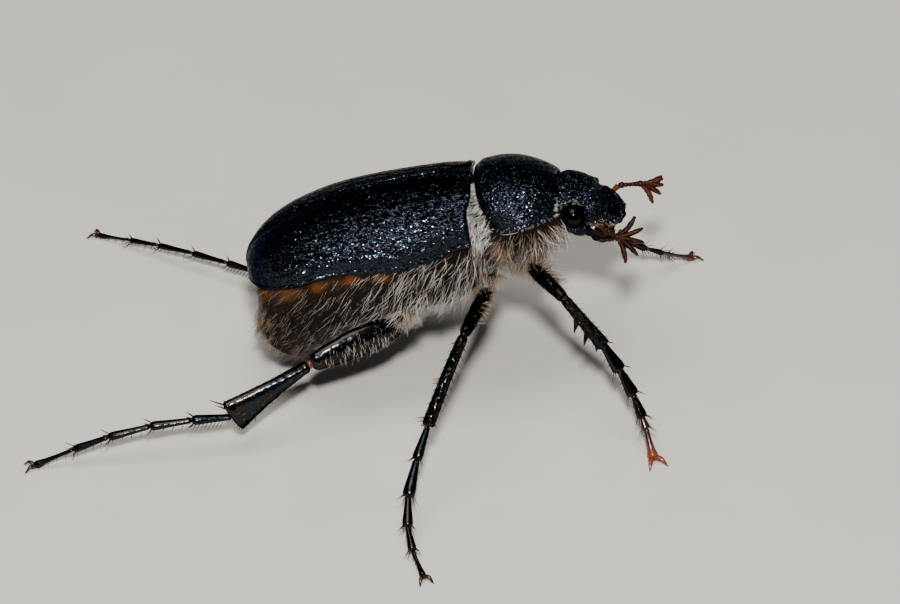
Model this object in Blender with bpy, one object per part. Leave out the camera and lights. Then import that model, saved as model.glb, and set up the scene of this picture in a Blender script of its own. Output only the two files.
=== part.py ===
"""A life-size chafer beetle, walking, as a set of closed solids. Sizes are in millimetres until make()."""

import math

import bmesh
import bpy
from mathutils import Matrix, Vector

MM = 0.001
GAP = 0.03  # clearance between neighbouring solids
PLATE = 0.5  # thickness of the wing cases and the pronotum

# ---- the body's attitude: x forward, y to the beetle's left, z up; body origin at the wing-case bases
BODY_AT = Vector((0.64, 0.0, 7.26))
PITCH, ROLL, YAW = 12.0, 16.0, 0.0  # nose up, right side up, heading, in degrees

# ---- wing cases (elytra)
ELYTRA_FRONT, ELYTRA_LENGTH = 0.42, 9.27
ELYTRA_HALF_WIDTH, ELYTRA_HEIGHT = 3.55, 2.55
ELYTRA_SQUARENESS = 2.25  # exponent of the cross-section
SCUTELLUM_LENGTH, SCUTELLUM_HALF_WIDTH = 1.25, 0.62

# ---- pronotum: hind margin to front margin
PRONOTUM_HIND, PRONOTUM_FRONT, PRONOTUM_RIM = 0.75, 4.0, 0.45
#                  share of length: half width, height above the rim
PRONOTUM_SHAPE = ((0.0, 2.35, 1.84), (0.12, 2.6, 1.98), (0.4, 2.75, 1.95), (0.7, 2.4, 1.68), (1.0, 1.75, 1.15))

# ---- head:   x, half width, top z, bottom z, exponent of the cross-section
HEAD_SHAPE = (
    (4.03, 1.36, 1.40, -0.72, 0.85),
    (4.35, 1.44, 1.42, -0.93, 0.85),
    (4.70, 1.40, 1.30, -0.98, 0.85),
    (5.08, 1.28, 1.05, -0.93, 0.83),
    (5.34, 1.20, 0.72, -0.85, 0.78),
    (5.50, 1.18, 0.40, -0.78, 0.68),
    (5.66, 1.13, 0.22, -0.73, 0.62),
    (5.86, 1.01, 0.00, -0.69, 0.62),
    (6.04, 0.83, -0.26, -0.68, 0.62),
    (6.17, 0.60, -0.39, -0.68, 0.65),
    (6.26, 0.34, -0.41, -0.65, 0.70),
)
HEAD_ROLL = 8.4  # the head, its eyes and mouthparts lean back towards level, about the body's long axis
EYE_AT, EYE_RADIUS = Vector((4.36, 1.25, 0.33)), 0.50

# ---- trunk below the wing cases:   x, belly depth below z = 0
BELLY = ((0.9, 2.0), (0.3, 2.38), (-0.8, 2.8), (-3.2, 2.95), (-5.5, 3.25), (-7.4, 4.0), (-8.3, 4.22), (-9.0, 3.5))
THORAX_END, ABDOMEN_END, TAIL_SLANT = -3.3, -8.3, 0.2
TAIL_BULGE, BULGE_HEIGHT = 0.66, -2.7  # how far the tail swells backwards, and where that is most

# ---- legs: hip in the body's frame for the right side; knee, ankle and foot above the floor, per side
HIPS = {"front": Vector((2.27, -1.2, -1.62)), "mid": Vector((0.50, -1.42, -2.26)), "hind": Vector((-3.1, -1.75, -2.98))}
LEGS = {
    "front_right": ((4.44, -3.90, 6.66), (6.00, -3.70, 4.20), (7.98, -5.72)),
    "mid_right": ((0.55, -5.54, 6.20), (-0.86, -7.73, 3.40), (-1.02, -12.9)),
    "hind_right": ((-5.48, -4.10, 3.56), (-8.56, -5.20, 1.80), (-16.3, -6.20)),
    "front_left": ((4.75, 2.60, 5.35), (6.24, 4.55, 3.45), (9.85, 7.15)),
    "mid_left": ((1.20, 4.00, 3.95), (0.20, 7.10, 2.30), (-0.55, 12.4)),
    "hind_left": ((-4.62, 2.95, 1.92), (-7.70, 4.85, 1.15), (-14.45, 8.68)),
}
#                sag of the tarsus below the straight line, and its sideways bow
BENDS = {
    "front_right": (0.10, -0.40),
    "mid_right": (0.50, 0.72),
    "hind_right": (-0.55, 0.0),
    "front_left": (0.20, 0.0),
    "mid_left": (0.45, -0.6),
    "hind_left": (-0.22, 0.0),
}
#        femur width, femur thickness, tibia width at knee, tibia width at ankle, tarsus joint lengths
LIMBS = {
    "front": (0.80, 0.58, 0.42, 0.60, (1.25, 1.2, 1.05, 0.5, 1.3)),
    "mid": (0.80, 0.60, 0.50, 0.64, (1.3, 1.5, 1.35, 1.2, 1.45)),
    "hind": (1.24, 0.68, 0.48, 1.70, (1.7, 1.8, 1.8, 1.5, 1.7)),
}
TARSUS_THICK = 0.46
FOOT_THICK = 0.44
CLAW_LENGTH, CLAW_THICK = 0.55, 0.26

# ---- antennae: base, bend and hub in the body's frame; first and last blade angle, and the blades' length
ANTENNAE = {
    "right": ((5.28, -1.34, -0.42), (5.60, -1.55, -0.62), (5.93, -1.74, -0.86), 51.0, -74.0, 1.10),
    "left": ((5.56, 1.34, -0.20), (6.06, 1.50, 0.04), (6.88, 1.80, -0.16), 22.0, -60.0, 0.94),
}
BLADES, BLADE_WIDTH, FEELER_THICK = 5, 0.36, 0.36


def clear():
    for item in list(bpy.data.objects):
        bpy.data.objects.remove(item, do_unlink=True)


def material(name, colour, roughness):
    made = bpy.data.materials.new(name)
    made.use_nodes = True
    shader = made.node_tree.nodes["Principled BSDF"]
    shader.inputs["Base Color"].default_value = (*colour, 1.0)
    shader.inputs["Roughness"].default_value = roughness
    shader.inputs["Metallic"].default_value = 0.0
    return made


def table(rows, x, column=1):
    """A smooth curve through the rows' first column and the given one, held level past both ends."""
    rows = sorted(rows)
    if x <= rows[0][0]:
        return rows[0][column]
    if x >= rows[-1][0]:
        return rows[-1][column]
    i = max(k for k, row in enumerate(rows[:-1]) if row[0] <= x)

    def slope(k):
        lo, hi = max(k - 1, 0), min(k + 1, len(rows) - 1)
        return (rows[hi][column] - rows[lo][column]) / (rows[hi][0] - rows[lo][0])

    (x0, y0), (x1, y1) = ((rows[k][0], rows[k][column]) for k in (i, i + 1))
    h = x1 - x0
    t = (x - x0) / h
    return (
        (2 * t**3 - 3 * t**2 + 1) * y0
        + (t**3 - 2 * t**2 + t) * h * slope(i)
        + (3 * t**2 - 2 * t**3) * y1
        + (t**3 - t**2) * h * slope(i + 1)
    )


def power(value, exponent):
    return math.copysign(abs(value) ** exponent, value)


def steps(first, last, count):
    return [first + (last - first) * k / (count - 1) for k in range(count)]


# ------------------------------------------------------------------ meshes


def grid_shell(outer, inner):
    """A closed plate between two grids of points of the same size."""
    rows, cols = len(outer), len(outer[0])
    verts = [p for row in outer for p in row] + [p for row in inner for p in row]
    half = rows * cols

    def at(r, c, side=0):
        return side * half + r * cols + c

    faces = []
    for r in range(rows - 1):
        for c in range(cols - 1):
            faces.append((at(r, c), at(r, c + 1), at(r + 1, c + 1), at(r + 1, c)))
            faces.append((at(r, c, 1), at(r + 1, c, 1), at(r + 1, c + 1, 1), at(r, c + 1, 1)))
    for r in range(rows - 1):
        for c in (0, cols - 1):
            faces.append((at(r, c), at(r + 1, c), at(r + 1, c, 1), at(r, c, 1)))
    for c in range(cols - 1):
        for r in (0, rows - 1):
            faces.append((at(r, c), at(r, c + 1), at(r, c + 1, 1), at(r, c, 1)))
    return verts, faces


def loft(rings):
    """A closed tube through rings of points, with a fan at each end."""
    sides = len(rings[0])
    verts = [p for ring in rings for p in ring]
    faces = []
    for r in range(len(rings) - 1):
        for c in range(sides):
            d = (c + 1) % sides
            faces.append((r * sides + c, r * sides + d, (r + 1) * sides + d, (r + 1) * sides + c))
    for r in (0, len(rings) - 1):
        middle = sum((Vector(p) for p in rings[r]), Vector()) / sides
        verts.append(middle)
        for c in range(sides):
            faces.append((len(verts) - 1, r * sides + c, r * sides + (c + 1) % sides))
    return verts, faces


def tube(points, widths, heights, sides, hint):
    """A tube along points; hint gives the direction of the ring's height."""
    rings = []
    for i, point in enumerate(points):
        ahead = points[min(i + 1, len(points) - 1)] - points[max(i - 1, 0)]
        side = ahead.cross(hint).normalized()
        up = side.cross(ahead).normalized()
        rings.append(
            [
                point + side * (widths[i] / 2 * math.cos(t)) + up * (heights[i] / 2 * math.sin(t))
                for t in (2 * math.pi * k / sides for k in range(sides))
            ]
        )
    return loft(rings)


def cone(base, tip, thick, sides=5, blunt=0.3):
    """A spine from base to tip, rounded off at the tip."""
    axis = tip - base
    hint = Vector((0, 0, 1)) if abs(axis.normalized().z) < 0.9 else Vector((1, 0, 0))
    points = [base, base + axis * 0.6, tip]
    sizes = [thick, thick * 0.74, thick * blunt]
    return tube(points, sizes, sizes, sides, hint)


def mesh_of(name, shape):
    """A mesh with its faces turned outward."""
    verts, faces = shape
    bm = bmesh.new()
    made = [bm.verts.new(p) for p in verts]
    for face in faces:
        bm.faces.new([made[k] for k in face])
    bmesh.ops.recalc_face_normals(bm, faces=bm.faces)
    mesh = bpy.data.meshes.new(name)
    bm.to_mesh(mesh)
    bm.free()
    return mesh


def combine(mesh, others, operation):
    """The exact union with, or difference from, other meshes, still in millimetres."""
    body = bpy.data.objects.new("work", mesh)
    bpy.context.scene.collection.objects.link(body)
    tools = []
    for other in others:
        tool = bpy.data.objects.new("tool", other)
        bpy.context.scene.collection.objects.link(tool)
        modifier = body.modifiers.new("cut", "BOOLEAN")
        modifier.operation, modifier.solver, modifier.object = operation, "EXACT", tool
        tools.append(tool)
    graph = bpy.context.evaluated_depsgraph_get()
    result = bpy.data.meshes.new_from_object(body.evaluated_get(graph))
    for item in [body, *tools]:
        bpy.data.objects.remove(item, do_unlink=True)
    return result


def triangulated(mesh):
    bm = bmesh.new()
    bm.from_mesh(mesh)
    bmesh.ops.remove_doubles(bm, verts=bm.verts, dist=0.0015)
    bmesh.ops.triangulate(bm, faces=bm.faces)
    bm.to_mesh(mesh)
    bm.free()


# ------------------------------------------------------------------ placing

ATTITUDE = (
    Matrix.Rotation(math.radians(YAW), 3, "Z")
    @ Matrix.Rotation(math.radians(-PITCH), 3, "Y")
    @ Matrix.Rotation(math.radians(-ROLL), 3, "X")
)


def placed(point):
    """A point of the body's own frame, above the floor."""
    return ATTITUDE @ Vector(point) + BODY_AT


def body_mesh(name, shape):
    verts, faces = shape
    return mesh_of(name, ([placed(p) for p in verts], faces))


MADE = []


def make(name, mesh, look):
    """Puts a finished mesh in the scene."""
    triangulated(mesh)
    mesh.name = name
    item = bpy.data.objects.new(name, mesh)
    bpy.context.scene.collection.objects.link(item)
    mesh.materials.clear()
    mesh.materials.append(look)
    MADE.append(item)


# ------------------------------------------------------------------ body surfaces


def elytra_half_width(x):
    u = min(max((ELYTRA_FRONT - x) / ELYTRA_LENGTH, 0.0), 0.9999)
    shoulder = 1 - 0.155 * max(0.0, 1 - u / 0.4) ** 2
    return ELYTRA_HALF_WIDTH * math.sqrt(1 - u**6.5) * shoulder


def elytra_height(x):
    u = min(max((ELYTRA_FRONT - x) / ELYTRA_LENGTH, 0.0), 0.9999)
    front = (1 - 0.05 * max(0.0, 1 - u / 0.5)) * (1 - 0.03 * max(0.0, 1 - u / 0.08))
    return ELYTRA_HEIGHT * math.sqrt(1 - u**3) * front


def margin_z(x):
    """The height of the wing case's outer edge: a wave along the side, dipping at the shoulder blade and the tip."""
    u = (ELYTRA_FRONT - x) / ELYTRA_LENGTH
    return 0.22 * math.cos(2 * math.pi * u / 0.62) * max(0.0, 1 - u) - 0.34 * max(0.0, u - 0.62) / 0.38


def dome(x, t, inset=0.0):
    """A point of the wing cases' surface: t is 0 at the middle and 90 degrees at the edge, on the left."""
    wide = max(elytra_half_width(x) - inset, 0.05)
    high = max(elytra_height(x) - inset, 0.05)
    e = 2 / ELYTRA_SQUARENESS
    edge = margin_z(x) * math.sin(t) ** 4
    return Vector((x, wide * power(math.sin(t), e), edge + high * power(math.cos(t), e)))


def under_dome(x, t, inset):
    """A point inside the wing cases, whose inner surface ends one plate's thickness before the tip."""
    span = ELYTRA_LENGTH * 0.996
    p = dome(min(ELYTRA_FRONT, ELYTRA_FRONT - (ELYTRA_FRONT - x) * span / (span - PLATE)), t, inset)
    p.x = x
    return p


def seam_angle(x, offset):
    """The angle t at which the dome is offset from the middle."""
    wide = elytra_half_width(x)
    return math.asin(min(1.0, (offset / wide)) ** (ELYTRA_SQUARENESS / 2))


def scutellum_edge(x):
    """Half the width of the gap for the scutellum at x."""
    u = (ELYTRA_FRONT - x) / SCUTELLUM_LENGTH
    return SCUTELLUM_HALF_WIDTH * max(0.0, 1 - u) ** 0.8


def elytron(side):
    outer, inner = [], []
    stations = [1 - (1 - k / 14) ** 1.4 for k in range(15)]
    for u in stations:
        x = ELYTRA_FRONT - ELYTRA_LENGTH * 0.996 * u
        x_in = ELYTRA_FRONT - (ELYTRA_LENGTH * 0.996 - PLATE) * u
        first = seam_angle(x, GAP / 2 + scutellum_edge(x))
        angles = steps(first, math.pi / 2, 10)
        outer.append([dome(x, t) for t in angles])
        row = []
        for t in angles:
            p = under_dome(x_in, t, PLATE)
            p.y = max(p.y, outer[-1][0].y)
            row.append(p)
        inner.append(row)
    mirror = Vector((1, side, 1))
    return grid_shell([[p * mirror for p in row] for row in outer], [[p * mirror for p in row] for row in inner])


def scutellum():
    outer, inner = [], []
    for x in steps(ELYTRA_FRONT, ELYTRA_FRONT - SCUTELLUM_LENGTH * 0.93, 6):
        half = scutellum_edge(x) - GAP / 2
        rows = [[], []]
        for s in steps(-1.0, 1.0, 5):
            t = seam_angle(x, abs(half * s))
            top = dome(x, t)
            y = half * s
            rows[0].append(Vector((x, y, top.z - 0.06)))
            rows[1].append(Vector((x, y, top.z - PLATE + 0.02)))
        outer.append(rows[0])
        inner.append(rows[1])
    return grid_shell(outer, inner)


def belly(x, t):
    """A point of the underside: t is 90 degrees at the left edge and 180 at the middle."""
    wide = max(elytra_half_width(max(x, -8.1)) - 0.12, 0.3)
    deep = table(BELLY, x) + margin_z(x)
    return Vector((x, wide * power(math.sin(t), 0.86), margin_z(x) - GAP + deep * power(math.cos(t), 0.9)))


def tail_bulge(x, z):
    """How far a point of the trunk lies behind its section, where the tail swells."""
    share = min(1.0, max(0.0, (-6.5 - x) / 1.7))
    return TAIL_BULGE * share**2 * (3 - 2 * share) * math.exp(-((z - BULGE_HEIGHT) ** 2))


def trunk_ring(x, slant, shrink=1.0):
    """A section of the trunk: the upper half lies under the wing cases, the lower half is the belly."""
    ring = []
    for t in steps(-90.0, 90.0, 11):
        p = under_dome(x, math.radians(abs(t)), PLATE + GAP)
        ring.append(Vector((x, math.copysign(p.y, t), p.z)))
    for t in steps(90.0, 270.0, 15):
        ring.append(belly(x, math.radians(t)))
    middle = sum(ring, Vector()) / len(ring)
    out = []
    for p in ring:
        p = middle + (p - middle) * shrink
        out.append(Vector((p.x - slant * min(p.z, 0.0) - tail_bulge(x, p.z), p.y, p.z)))
    return out


def tail_slant(x):
    return TAIL_SLANT * min(1.0, max(0.0, (THORAX_END - x) / (THORAX_END - ABDOMEN_END)))


def pronotum_point(s, t, inset=0.0):
    """s runs from the hind margin to the front margin, t from -90 to 90 degrees across."""
    wide = table(PRONOTUM_SHAPE, s, 1) - inset
    high = table(PRONOTUM_SHAPE, s, 2) - inset
    y = wide * power(math.sin(t), 0.92)
    corner = abs(math.sin(t)) ** 12
    hind = PRONOTUM_HIND + 0.14 * (y / 2.2) ** 2 + 0.42 * corner
    front = PRONOTUM_FRONT - 0.12 * (1 - (y / 1.7) ** 2) - 0.22 * corner
    return Vector((hind + (front - hind) * s, y, PRONOTUM_RIM + high * power(math.cos(t), 0.92)))


def pronotum():
    stations = [0.0, 0.06, 0.16, 0.32, 0.5, 0.68, 0.85, 1.0]
    angles = [math.radians(a) for a in steps(-90, 90, 15)]
    outer = [[pronotum_point(s, t) for t in angles] for s in stations]
    inner = [[pronotum_point(s, t, PLATE) for t in angles] for s in stations]
    return grid_shell(outer, inner)


def prothorax_depth(x):
    return table(((0.9, 1.75), (1.8, 1.6), (2.8, 1.35), (3.4, 1.05), (3.9, 0.75)), x)


def prothorax():
    """The solid core under the pronotum, with the breast below."""
    rings = []
    for s in (0.0, 0.12, 0.3, 0.5, 0.7, 0.86, 0.97):
        ring = []
        for a in steps(-90, 90, 11):
            ring.append(pronotum_point(s, math.radians(a), PLATE + GAP))
        wide = table(PRONOTUM_SHAPE, s, 1) - 0.1
        for a in steps(90, 270, 13):
            t = math.radians(a)
            y = wide * power(math.sin(t), 0.9)
            hind = PRONOTUM_HIND + 0.14 * (y / 2.2) ** 2
            x = hind + (PRONOTUM_FRONT - hind) * s
            deep = prothorax_depth(x) + PRONOTUM_RIM
            ring.append(Vector((x, y, PRONOTUM_RIM - GAP + deep * power(math.cos(t), 0.9))))
        rings.append(ring)
    return loft(rings)


def head_ring(x, count=20):
    wide, top, low, bend = (table(HEAD_SHAPE, x, k) for k in (1, 2, 3, 4))
    level = low + (top - low) * 0.42
    ring = []
    for k in range(count):
        t = 2 * math.pi * k / count
        y = wide * power(math.sin(t), bend)
        c = math.cos(t)
        z = level + ((top - level) if c > 0 else (level - low)) * power(c, bend)
        ring.append(head_pose(Vector((x, y, z))))
    return ring


def head_pose(point):
    """A point of the head's own frame, in the body's frame."""
    return Matrix.Rotation(math.radians(HEAD_ROLL), 3, "X") @ point


def ball(centre, radius, squash=(1, 1, 1), across=12, up=8):
    rings = []
    for k in range(1, up):
        a = math.pi * k / up
        rings.append(
            [
                centre
                + Vector(
                    (
                        radius * squash[0] * math.sin(a) * math.cos(b),
                        radius * squash[1] * math.sin(a) * math.sin(b),
                        radius * squash[2] * math.cos(a),
                    )
                )
                for b in (2 * math.pi * j / across for j in range(across))
            ]
        )
    verts, faces = loft(rings)
    verts[-2] = centre + Vector((0, 0, radius * squash[2]))
    verts[-1] = centre - Vector((0, 0, radius * squash[2]))
    return verts, faces


# ------------------------------------------------------------------ legs


def mirrored(point, side):
    return Vector((point[0], point[1] if side == "right" else -point[1], point[2]))


def leg_plane(kind, hip, knee, ankle):
    """The normal of the leg's flat side: a hind leg is flattened upright, the others in the plane of their bend."""
    if kind == "hind":
        return Vector((0, 1 if ankle.y > 0 else -1, 0.2)).normalized()
    return (knee - hip).cross(ankle - knee).normalized()


def segment(start, end, rows, sides, hint):
    """A limb piece: rows of (share of length, width, thickness, bow)."""
    axis = end - start
    side = axis.cross(hint).normalized()
    points = [start + axis * s + side * bow for s, _, _, bow in rows]
    return tube(points, [r[2] for r in rows], [r[1] for r in rows], sides, side)


def inward(start, end, back):
    """The point short of end by back."""
    return end - (end - start).normalized() * back


def hip_lump(kind, side):
    """A coxa: a rounded cone from the body's surface to the hip, bedded on the surface."""
    hip = mirrored(HIPS[kind], side)
    sign = -1 if side == "right" else 1
    half_x, half_y, y_at = {"front": (0.50, 0.50, 0.80), "mid": (0.55, 0.55, 1.05), "hind": (0.55, 0.95, 1.35)}[kind]
    x_at = hip.x + {"front": -0.25, "mid": -0.1, "hind": 0.35}[kind]
    rings = []
    count = 12
    base = []
    for k in range(count):
        t = 2 * math.pi * k / count
        x, y = x_at + half_x * math.cos(t), sign * y_at + half_y * math.sin(t)
        if kind == "front":
            wide = table(PRONOTUM_SHAPE, (x - PRONOTUM_HIND) / (PRONOTUM_FRONT - PRONOTUM_HIND), 1) - 0.1
            level, deep = PRONOTUM_RIM, prothorax_depth(x) + PRONOTUM_RIM
            bend = 0.9
        else:
            wide = elytra_half_width(x) - 0.12
            level, deep = margin_z(x), table(BELLY, x) + margin_z(x)
            bend = 0.9
        share = min(0.98, abs(y) / wide) ** (1 / (0.9 if kind == "front" else 0.86))
        z = level - GAP - deep * math.sqrt(1 - share**2) ** bend
        base.append(Vector((x, y, z - 0.06)))
    middle = sum(base, Vector()) / count
    end = inward(middle, hip, 0.12)
    for s, size in ((0.0, 1.0), (0.35, 0.92), (0.7, 0.68), (0.92, 0.42), (1.0, 0.3)):
        rings.append([middle + (end - middle) * s + (p - middle) * size for p in base])
    return loft(rings)


def femur(kind, hip, knee, ankle):
    wide, thick = LIMBS[kind][:2]
    normal = leg_plane(kind, hip, knee, ankle)
    start, end = inward(knee, hip, 0.05), inward(hip, knee, 0.07)
    rows = [
        (0.0, wide * 0.36, thick * 0.45, 0.0),
        (0.08, wide * 0.70, thick * 0.8, 0.0),
        (0.25, wide * 0.95, thick * 0.98, 0.0),
        (0.45, wide, thick, 0.0),
        (0.7, wide * 0.86, thick * 0.92, 0.0),
        (0.92, wide * 0.64, thick * 0.8, 0.0),
        (1.0, wide * 0.3, thick * 0.45, 0.0),
    ]
    return segment(start, end, rows, 10, normal)


def tibia_frame(kind, hip, knee, ankle):
    """Along the shin, its toothed edge, and the normal of its flat side."""
    along = (ankle - knee).normalized()
    if kind == "front":
        outer = Vector((-0.30, 0.5 if ankle.y > 0 else -0.5, -0.8))
    elif kind == "hind":
        outer = Vector((0, 0, 1))
    else:
        outer = knee - hip
    outer = (outer - along * outer.dot(along)).normalized()
    return along, outer, along.cross(outer)


def tibia(kind, hip, knee, ankle):
    near, far = LIMBS[kind][2:4]
    along, outer, normal = tibia_frame(kind, hip, knee, ankle)
    start, end = inward(ankle, knee, 0.05), inward(knee, ankle, 0.06)
    length = (end - start).length
    thick = 0.46 if kind != "hind" else 0.52
    rows = [(0.0, near * 0.5, 0.28, 0.0), (0.07, near, 0.44, 0.0)]
    for s in (0.4, 0.75, 0.94):
        rows.append((s, near + (far - near) * s**1.6, thick, 0.0))
    rows.append((1.0, far * 0.62, 0.36, 0.0))
    mesh = mesh_of("tibia", segment(start, end, rows, 8, normal))
    spines = []
    if kind == "front":
        for s, reach in ((0.36, 0.66), (0.70, 0.72), (0.94, 0.5)):
            base = start + along * (length * s) + outer * 0.05
            spines.append(cone(base, base + (outer * 0.85 + along * 0.5) * reach, 0.34))
    else:
        for turn in (-1, 1):
            base = start + along * (length * 0.9) + outer * (far * 0.22 * turn)
            spines.append(cone(base, base + along * 0.85 + outer * 0.14 * turn + normal * 0.05, 0.26))
        for s in (0.36, 0.64):
            base = start + along * (length * s)
            spines.append(cone(base, base + (outer * 0.85 + along * 0.5) * 0.5, 0.26))
    return combine(mesh, [mesh_of("spine", spine) for spine in spines], "UNION")


def tarsus_path(kind, name, ankle, foot):
    """The tarsus's joints, from the ankle to the claws, arched a little above the straight line."""
    lengths = LIMBS[kind][4]
    rest = Vector((foot[0], foot[1], FOOT_THICK / 2))
    total = sum(lengths)
    chord = rest - ankle
    level = Vector((chord.x, chord.y, 0)).normalized()
    sag = Vector((0, 0, -1))
    bow, swing = BENDS[name]
    across = Vector((-level.y, level.x, 0))
    points = []
    done = 0.0
    for length in (0.0, *lengths):
        done += length
        s = done / total
        arch = math.sin(math.pi * s)
        p = ankle + chord * s + sag * (bow * arch) - across * (swing * arch)
        p.z = max(p.z, FOOT_THICK / 2)
        points.append(p)
    return points


def tarsus(kind, name, ankle, foot):
    joints = tarsus_path(kind, name, ankle, foot)
    points, sizes = [], []
    for i in range(len(joints) - 1):
        a, b = joints[i], joints[i + 1]
        for share, size in ((0.13 if i == 0 else 0.05, 0.80), (0.85, 1.0)):
            points.append(a + (b - a) * share)
            sizes.append(TARSUS_THICK * size)
    last = joints[-1] - joints[-2]
    ahead = Vector((last.x, last.y, 0)).normalized()
    points[-1] = joints[-2].lerp(joints[-1], 0.8)
    for reach in (0.06, 0.24):
        points.append(joints[-1] + ahead * reach)
        sizes.append(TARSUS_THICK * 0.98)
    mesh = mesh_of("tarsus", tube(points, sizes, sizes, 6, ahead + Vector((0, 0, 1))))
    across = Vector((-ahead.y, ahead.x, 0))
    claws = []
    for sign in (-1, 1):
        root = joints[-1] + ahead * 0.08 + across * (sign * 0.04)
        mid = root + ahead * (CLAW_LENGTH * 0.6) + across * (sign * 0.20)
        mid.z = CLAW_THICK * 0.45
        tip = root + ahead * CLAW_LENGTH * 1.15 + across * (sign * 0.42)
        tip.z = CLAW_THICK * 0.25
        points = [root, (root + mid) / 2 + Vector((0, 0, 0.04)), mid, tip]
        sizes = [CLAW_THICK * 1.1, CLAW_THICK, CLAW_THICK * 0.9, CLAW_THICK * 0.5]
        claws.append(tube(points, sizes, sizes, 5, Vector((0, 0, 1))))
    mesh = combine(mesh, [mesh_of("claw", claw) for claw in claws], "UNION")
    for vertex in mesh.vertices:
        if vertex.co.z < 0.06:
            vertex.co.z = 0.0
    return mesh


# ------------------------------------------------------------------ head parts


def antenna(side):
    base, bend, hub = (Vector(p) for p in ANTENNAE[side][:3])
    back = (hub - bend).normalized()
    points = [base, (base + bend) / 2, bend, (bend + hub) / 2, hub - back * 0.2]
    sizes = [FEELER_THICK * k for k in (0.8, 1.0, 0.9, 0.8, 0.75)]
    return tube(points, sizes, sizes, 8, Vector((0, 0.3, 1)))


def club(side):
    """A fan of flat blades that spring from one hub."""
    hub, first, last, length = ANTENNAE[side][2:]
    hub = Vector(hub)
    forward, up = Vector((0.978, 0.057, -0.2)), Vector((0.164, 0.379, 0.911))
    shapes = []
    for angle in steps(first, last, BLADES):
        t = math.radians(angle)
        along = forward * math.cos(t) + up * math.sin(t)
        across = (up * math.cos(t) - forward * math.sin(t)).normalized()
        points = [hub + along * (length * s) for s in (0.0, 0.4, 0.85, 1.0)]
        widths = [BLADE_WIDTH * k for k in (0.5, 0.9, 1.0, 0.55)]
        shapes.append(tube(points, [0.3, 0.34, 0.34, 0.2], widths, 6, across))
    mesh = mesh_of("club", ball(hub, 0.2, across=6, up=4))
    return combine(mesh, [mesh_of("blade", shape) for shape in shapes], "UNION")


def mouthparts():
    rings = []
    for x, wide, top, low in (
        (4.70, 0.60, -1.04, -1.22),
        (4.95, 0.90, -1.02, -1.40),
        (5.30, 0.98, -0.92, -1.42),
        (5.58, 0.86, -0.82, -1.30),
        (5.84, 0.56, -0.74, -1.0),
    ):
        mid, half = (top + low) / 2, (top - low) / 2
        rings.append(
            [
                head_pose(Vector((x, wide * power(math.cos(t), 0.85), mid + half * power(math.sin(t), 0.85))))
                for t in (2 * math.pi * k / 14 for k in range(14))
            ]
        )
    return loft(rings)


def palp(side):
    sign = -1 if side == "right" else 1
    points = [
        head_pose(Vector((5.47, sign * 1.08, -1.10))),
        head_pose(Vector((5.64, sign * 1.16, -1.06))),
        head_pose(Vector((5.86, sign * 1.12, -0.95))),
        head_pose(Vector((6.06, sign * 1.02, -0.84))),
    ]
    sizes = [0.22, 0.3, 0.3, 0.16]
    return tube(points, sizes, sizes, 8, Vector((0, 1, 0.2)))


# ------------------------------------------------------------------ the beetle

clear()
SHELL = material("shell", (0.012, 0.014, 0.02), 0.35)
LIMB = material("limb", (0.014, 0.011, 0.010), 0.22)
UNDERSIDE = material("underside", (0.045, 0.028, 0.02), 0.5)
FEELER = material("feeler", (0.10, 0.03, 0.012), 0.35)
EYE = material("eye", (0.006, 0.006, 0.007), 0.08)

make("elytron_left", body_mesh("e", elytron(1)), SHELL)
make("elytron_right", body_mesh("e", elytron(-1)), SHELL)
make("scutellum", body_mesh("s", scutellum()), SHELL)
make("pronotum", body_mesh("p", pronotum()), SHELL)
make("prothorax", body_mesh("p", prothorax()), UNDERSIDE)

thorax = [trunk_ring(0.71, 0.0, 0.70), trunk_ring(0.62, 0.0, 0.84), trunk_ring(0.45, 0.0, 0.94)]
thorax += [trunk_ring(x, 0.0) for x in (0.1, -0.8, -1.8, -2.6, THORAX_END)]
make("thorax", body_mesh("t", loft(thorax)), UNDERSIDE)
rear = [trunk_ring(x, tail_slant(x)) for x in (THORAX_END - GAP, -4.2, -5.2, -6.2, -7.0, -7.6, -8.0, ABDOMEN_END)]
make("abdomen", body_mesh("a", loft(rear)), UNDERSIDE)
tail = [
    trunk_ring(x, TAIL_SLANT, shrink)
    for x, shrink in ((ABDOMEN_END - GAP, 1.0), (-8.48, 0.95), (-8.62, 0.86), (-8.72, 0.70))
]
make("pygidium", body_mesh("p", loft(tail)), UNDERSIDE)

head = body_mesh("head", loft([head_ring(row[0]) for row in HEAD_SHAPE]))
sockets = []
for side in ("left", "right"):
    centre = head_pose(mirrored(Vector((EYE_AT.x, -EYE_AT.y, EYE_AT.z)), side))
    sockets.append(body_mesh("socket", ball(centre, EYE_RADIUS + 0.02, (1.0, 1.0, 1.0))))
    make("eye_" + side, body_mesh("eye", ball(centre, EYE_RADIUS)), EYE)
make("head", combine(head, sockets, "DIFFERENCE"), SHELL)
make("mouthparts", body_mesh("m", mouthparts()), FEELER)
for side in ("left", "right"):
    make("palp_" + side, body_mesh("p", palp(side)), FEELER)
    make("antenna_" + side, body_mesh("a", antenna(side)), FEELER)
    fan = club(side)
    for vertex in fan.vertices:
        vertex.co = placed(vertex.co)
    make("antenna_club_" + side, fan, FEELER)

for name, (knee, ankle, foot) in LEGS.items():
    kind, side = name.split("_")
    hip, knee, ankle = placed(mirrored(HIPS[kind], side)), Vector(knee), Vector(ankle)
    make("coxa_" + name, body_mesh("c", hip_lump(kind, side)), UNDERSIDE)
    make("femur_" + name, mesh_of("f", femur(kind, hip, knee, ankle)), LIMB)
    make("tibia_" + name, tibia(kind, hip, knee, ankle), LIMB)
    make("tarsus_" + name, tarsus(kind, name, ankle, foot), LIMB)

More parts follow.
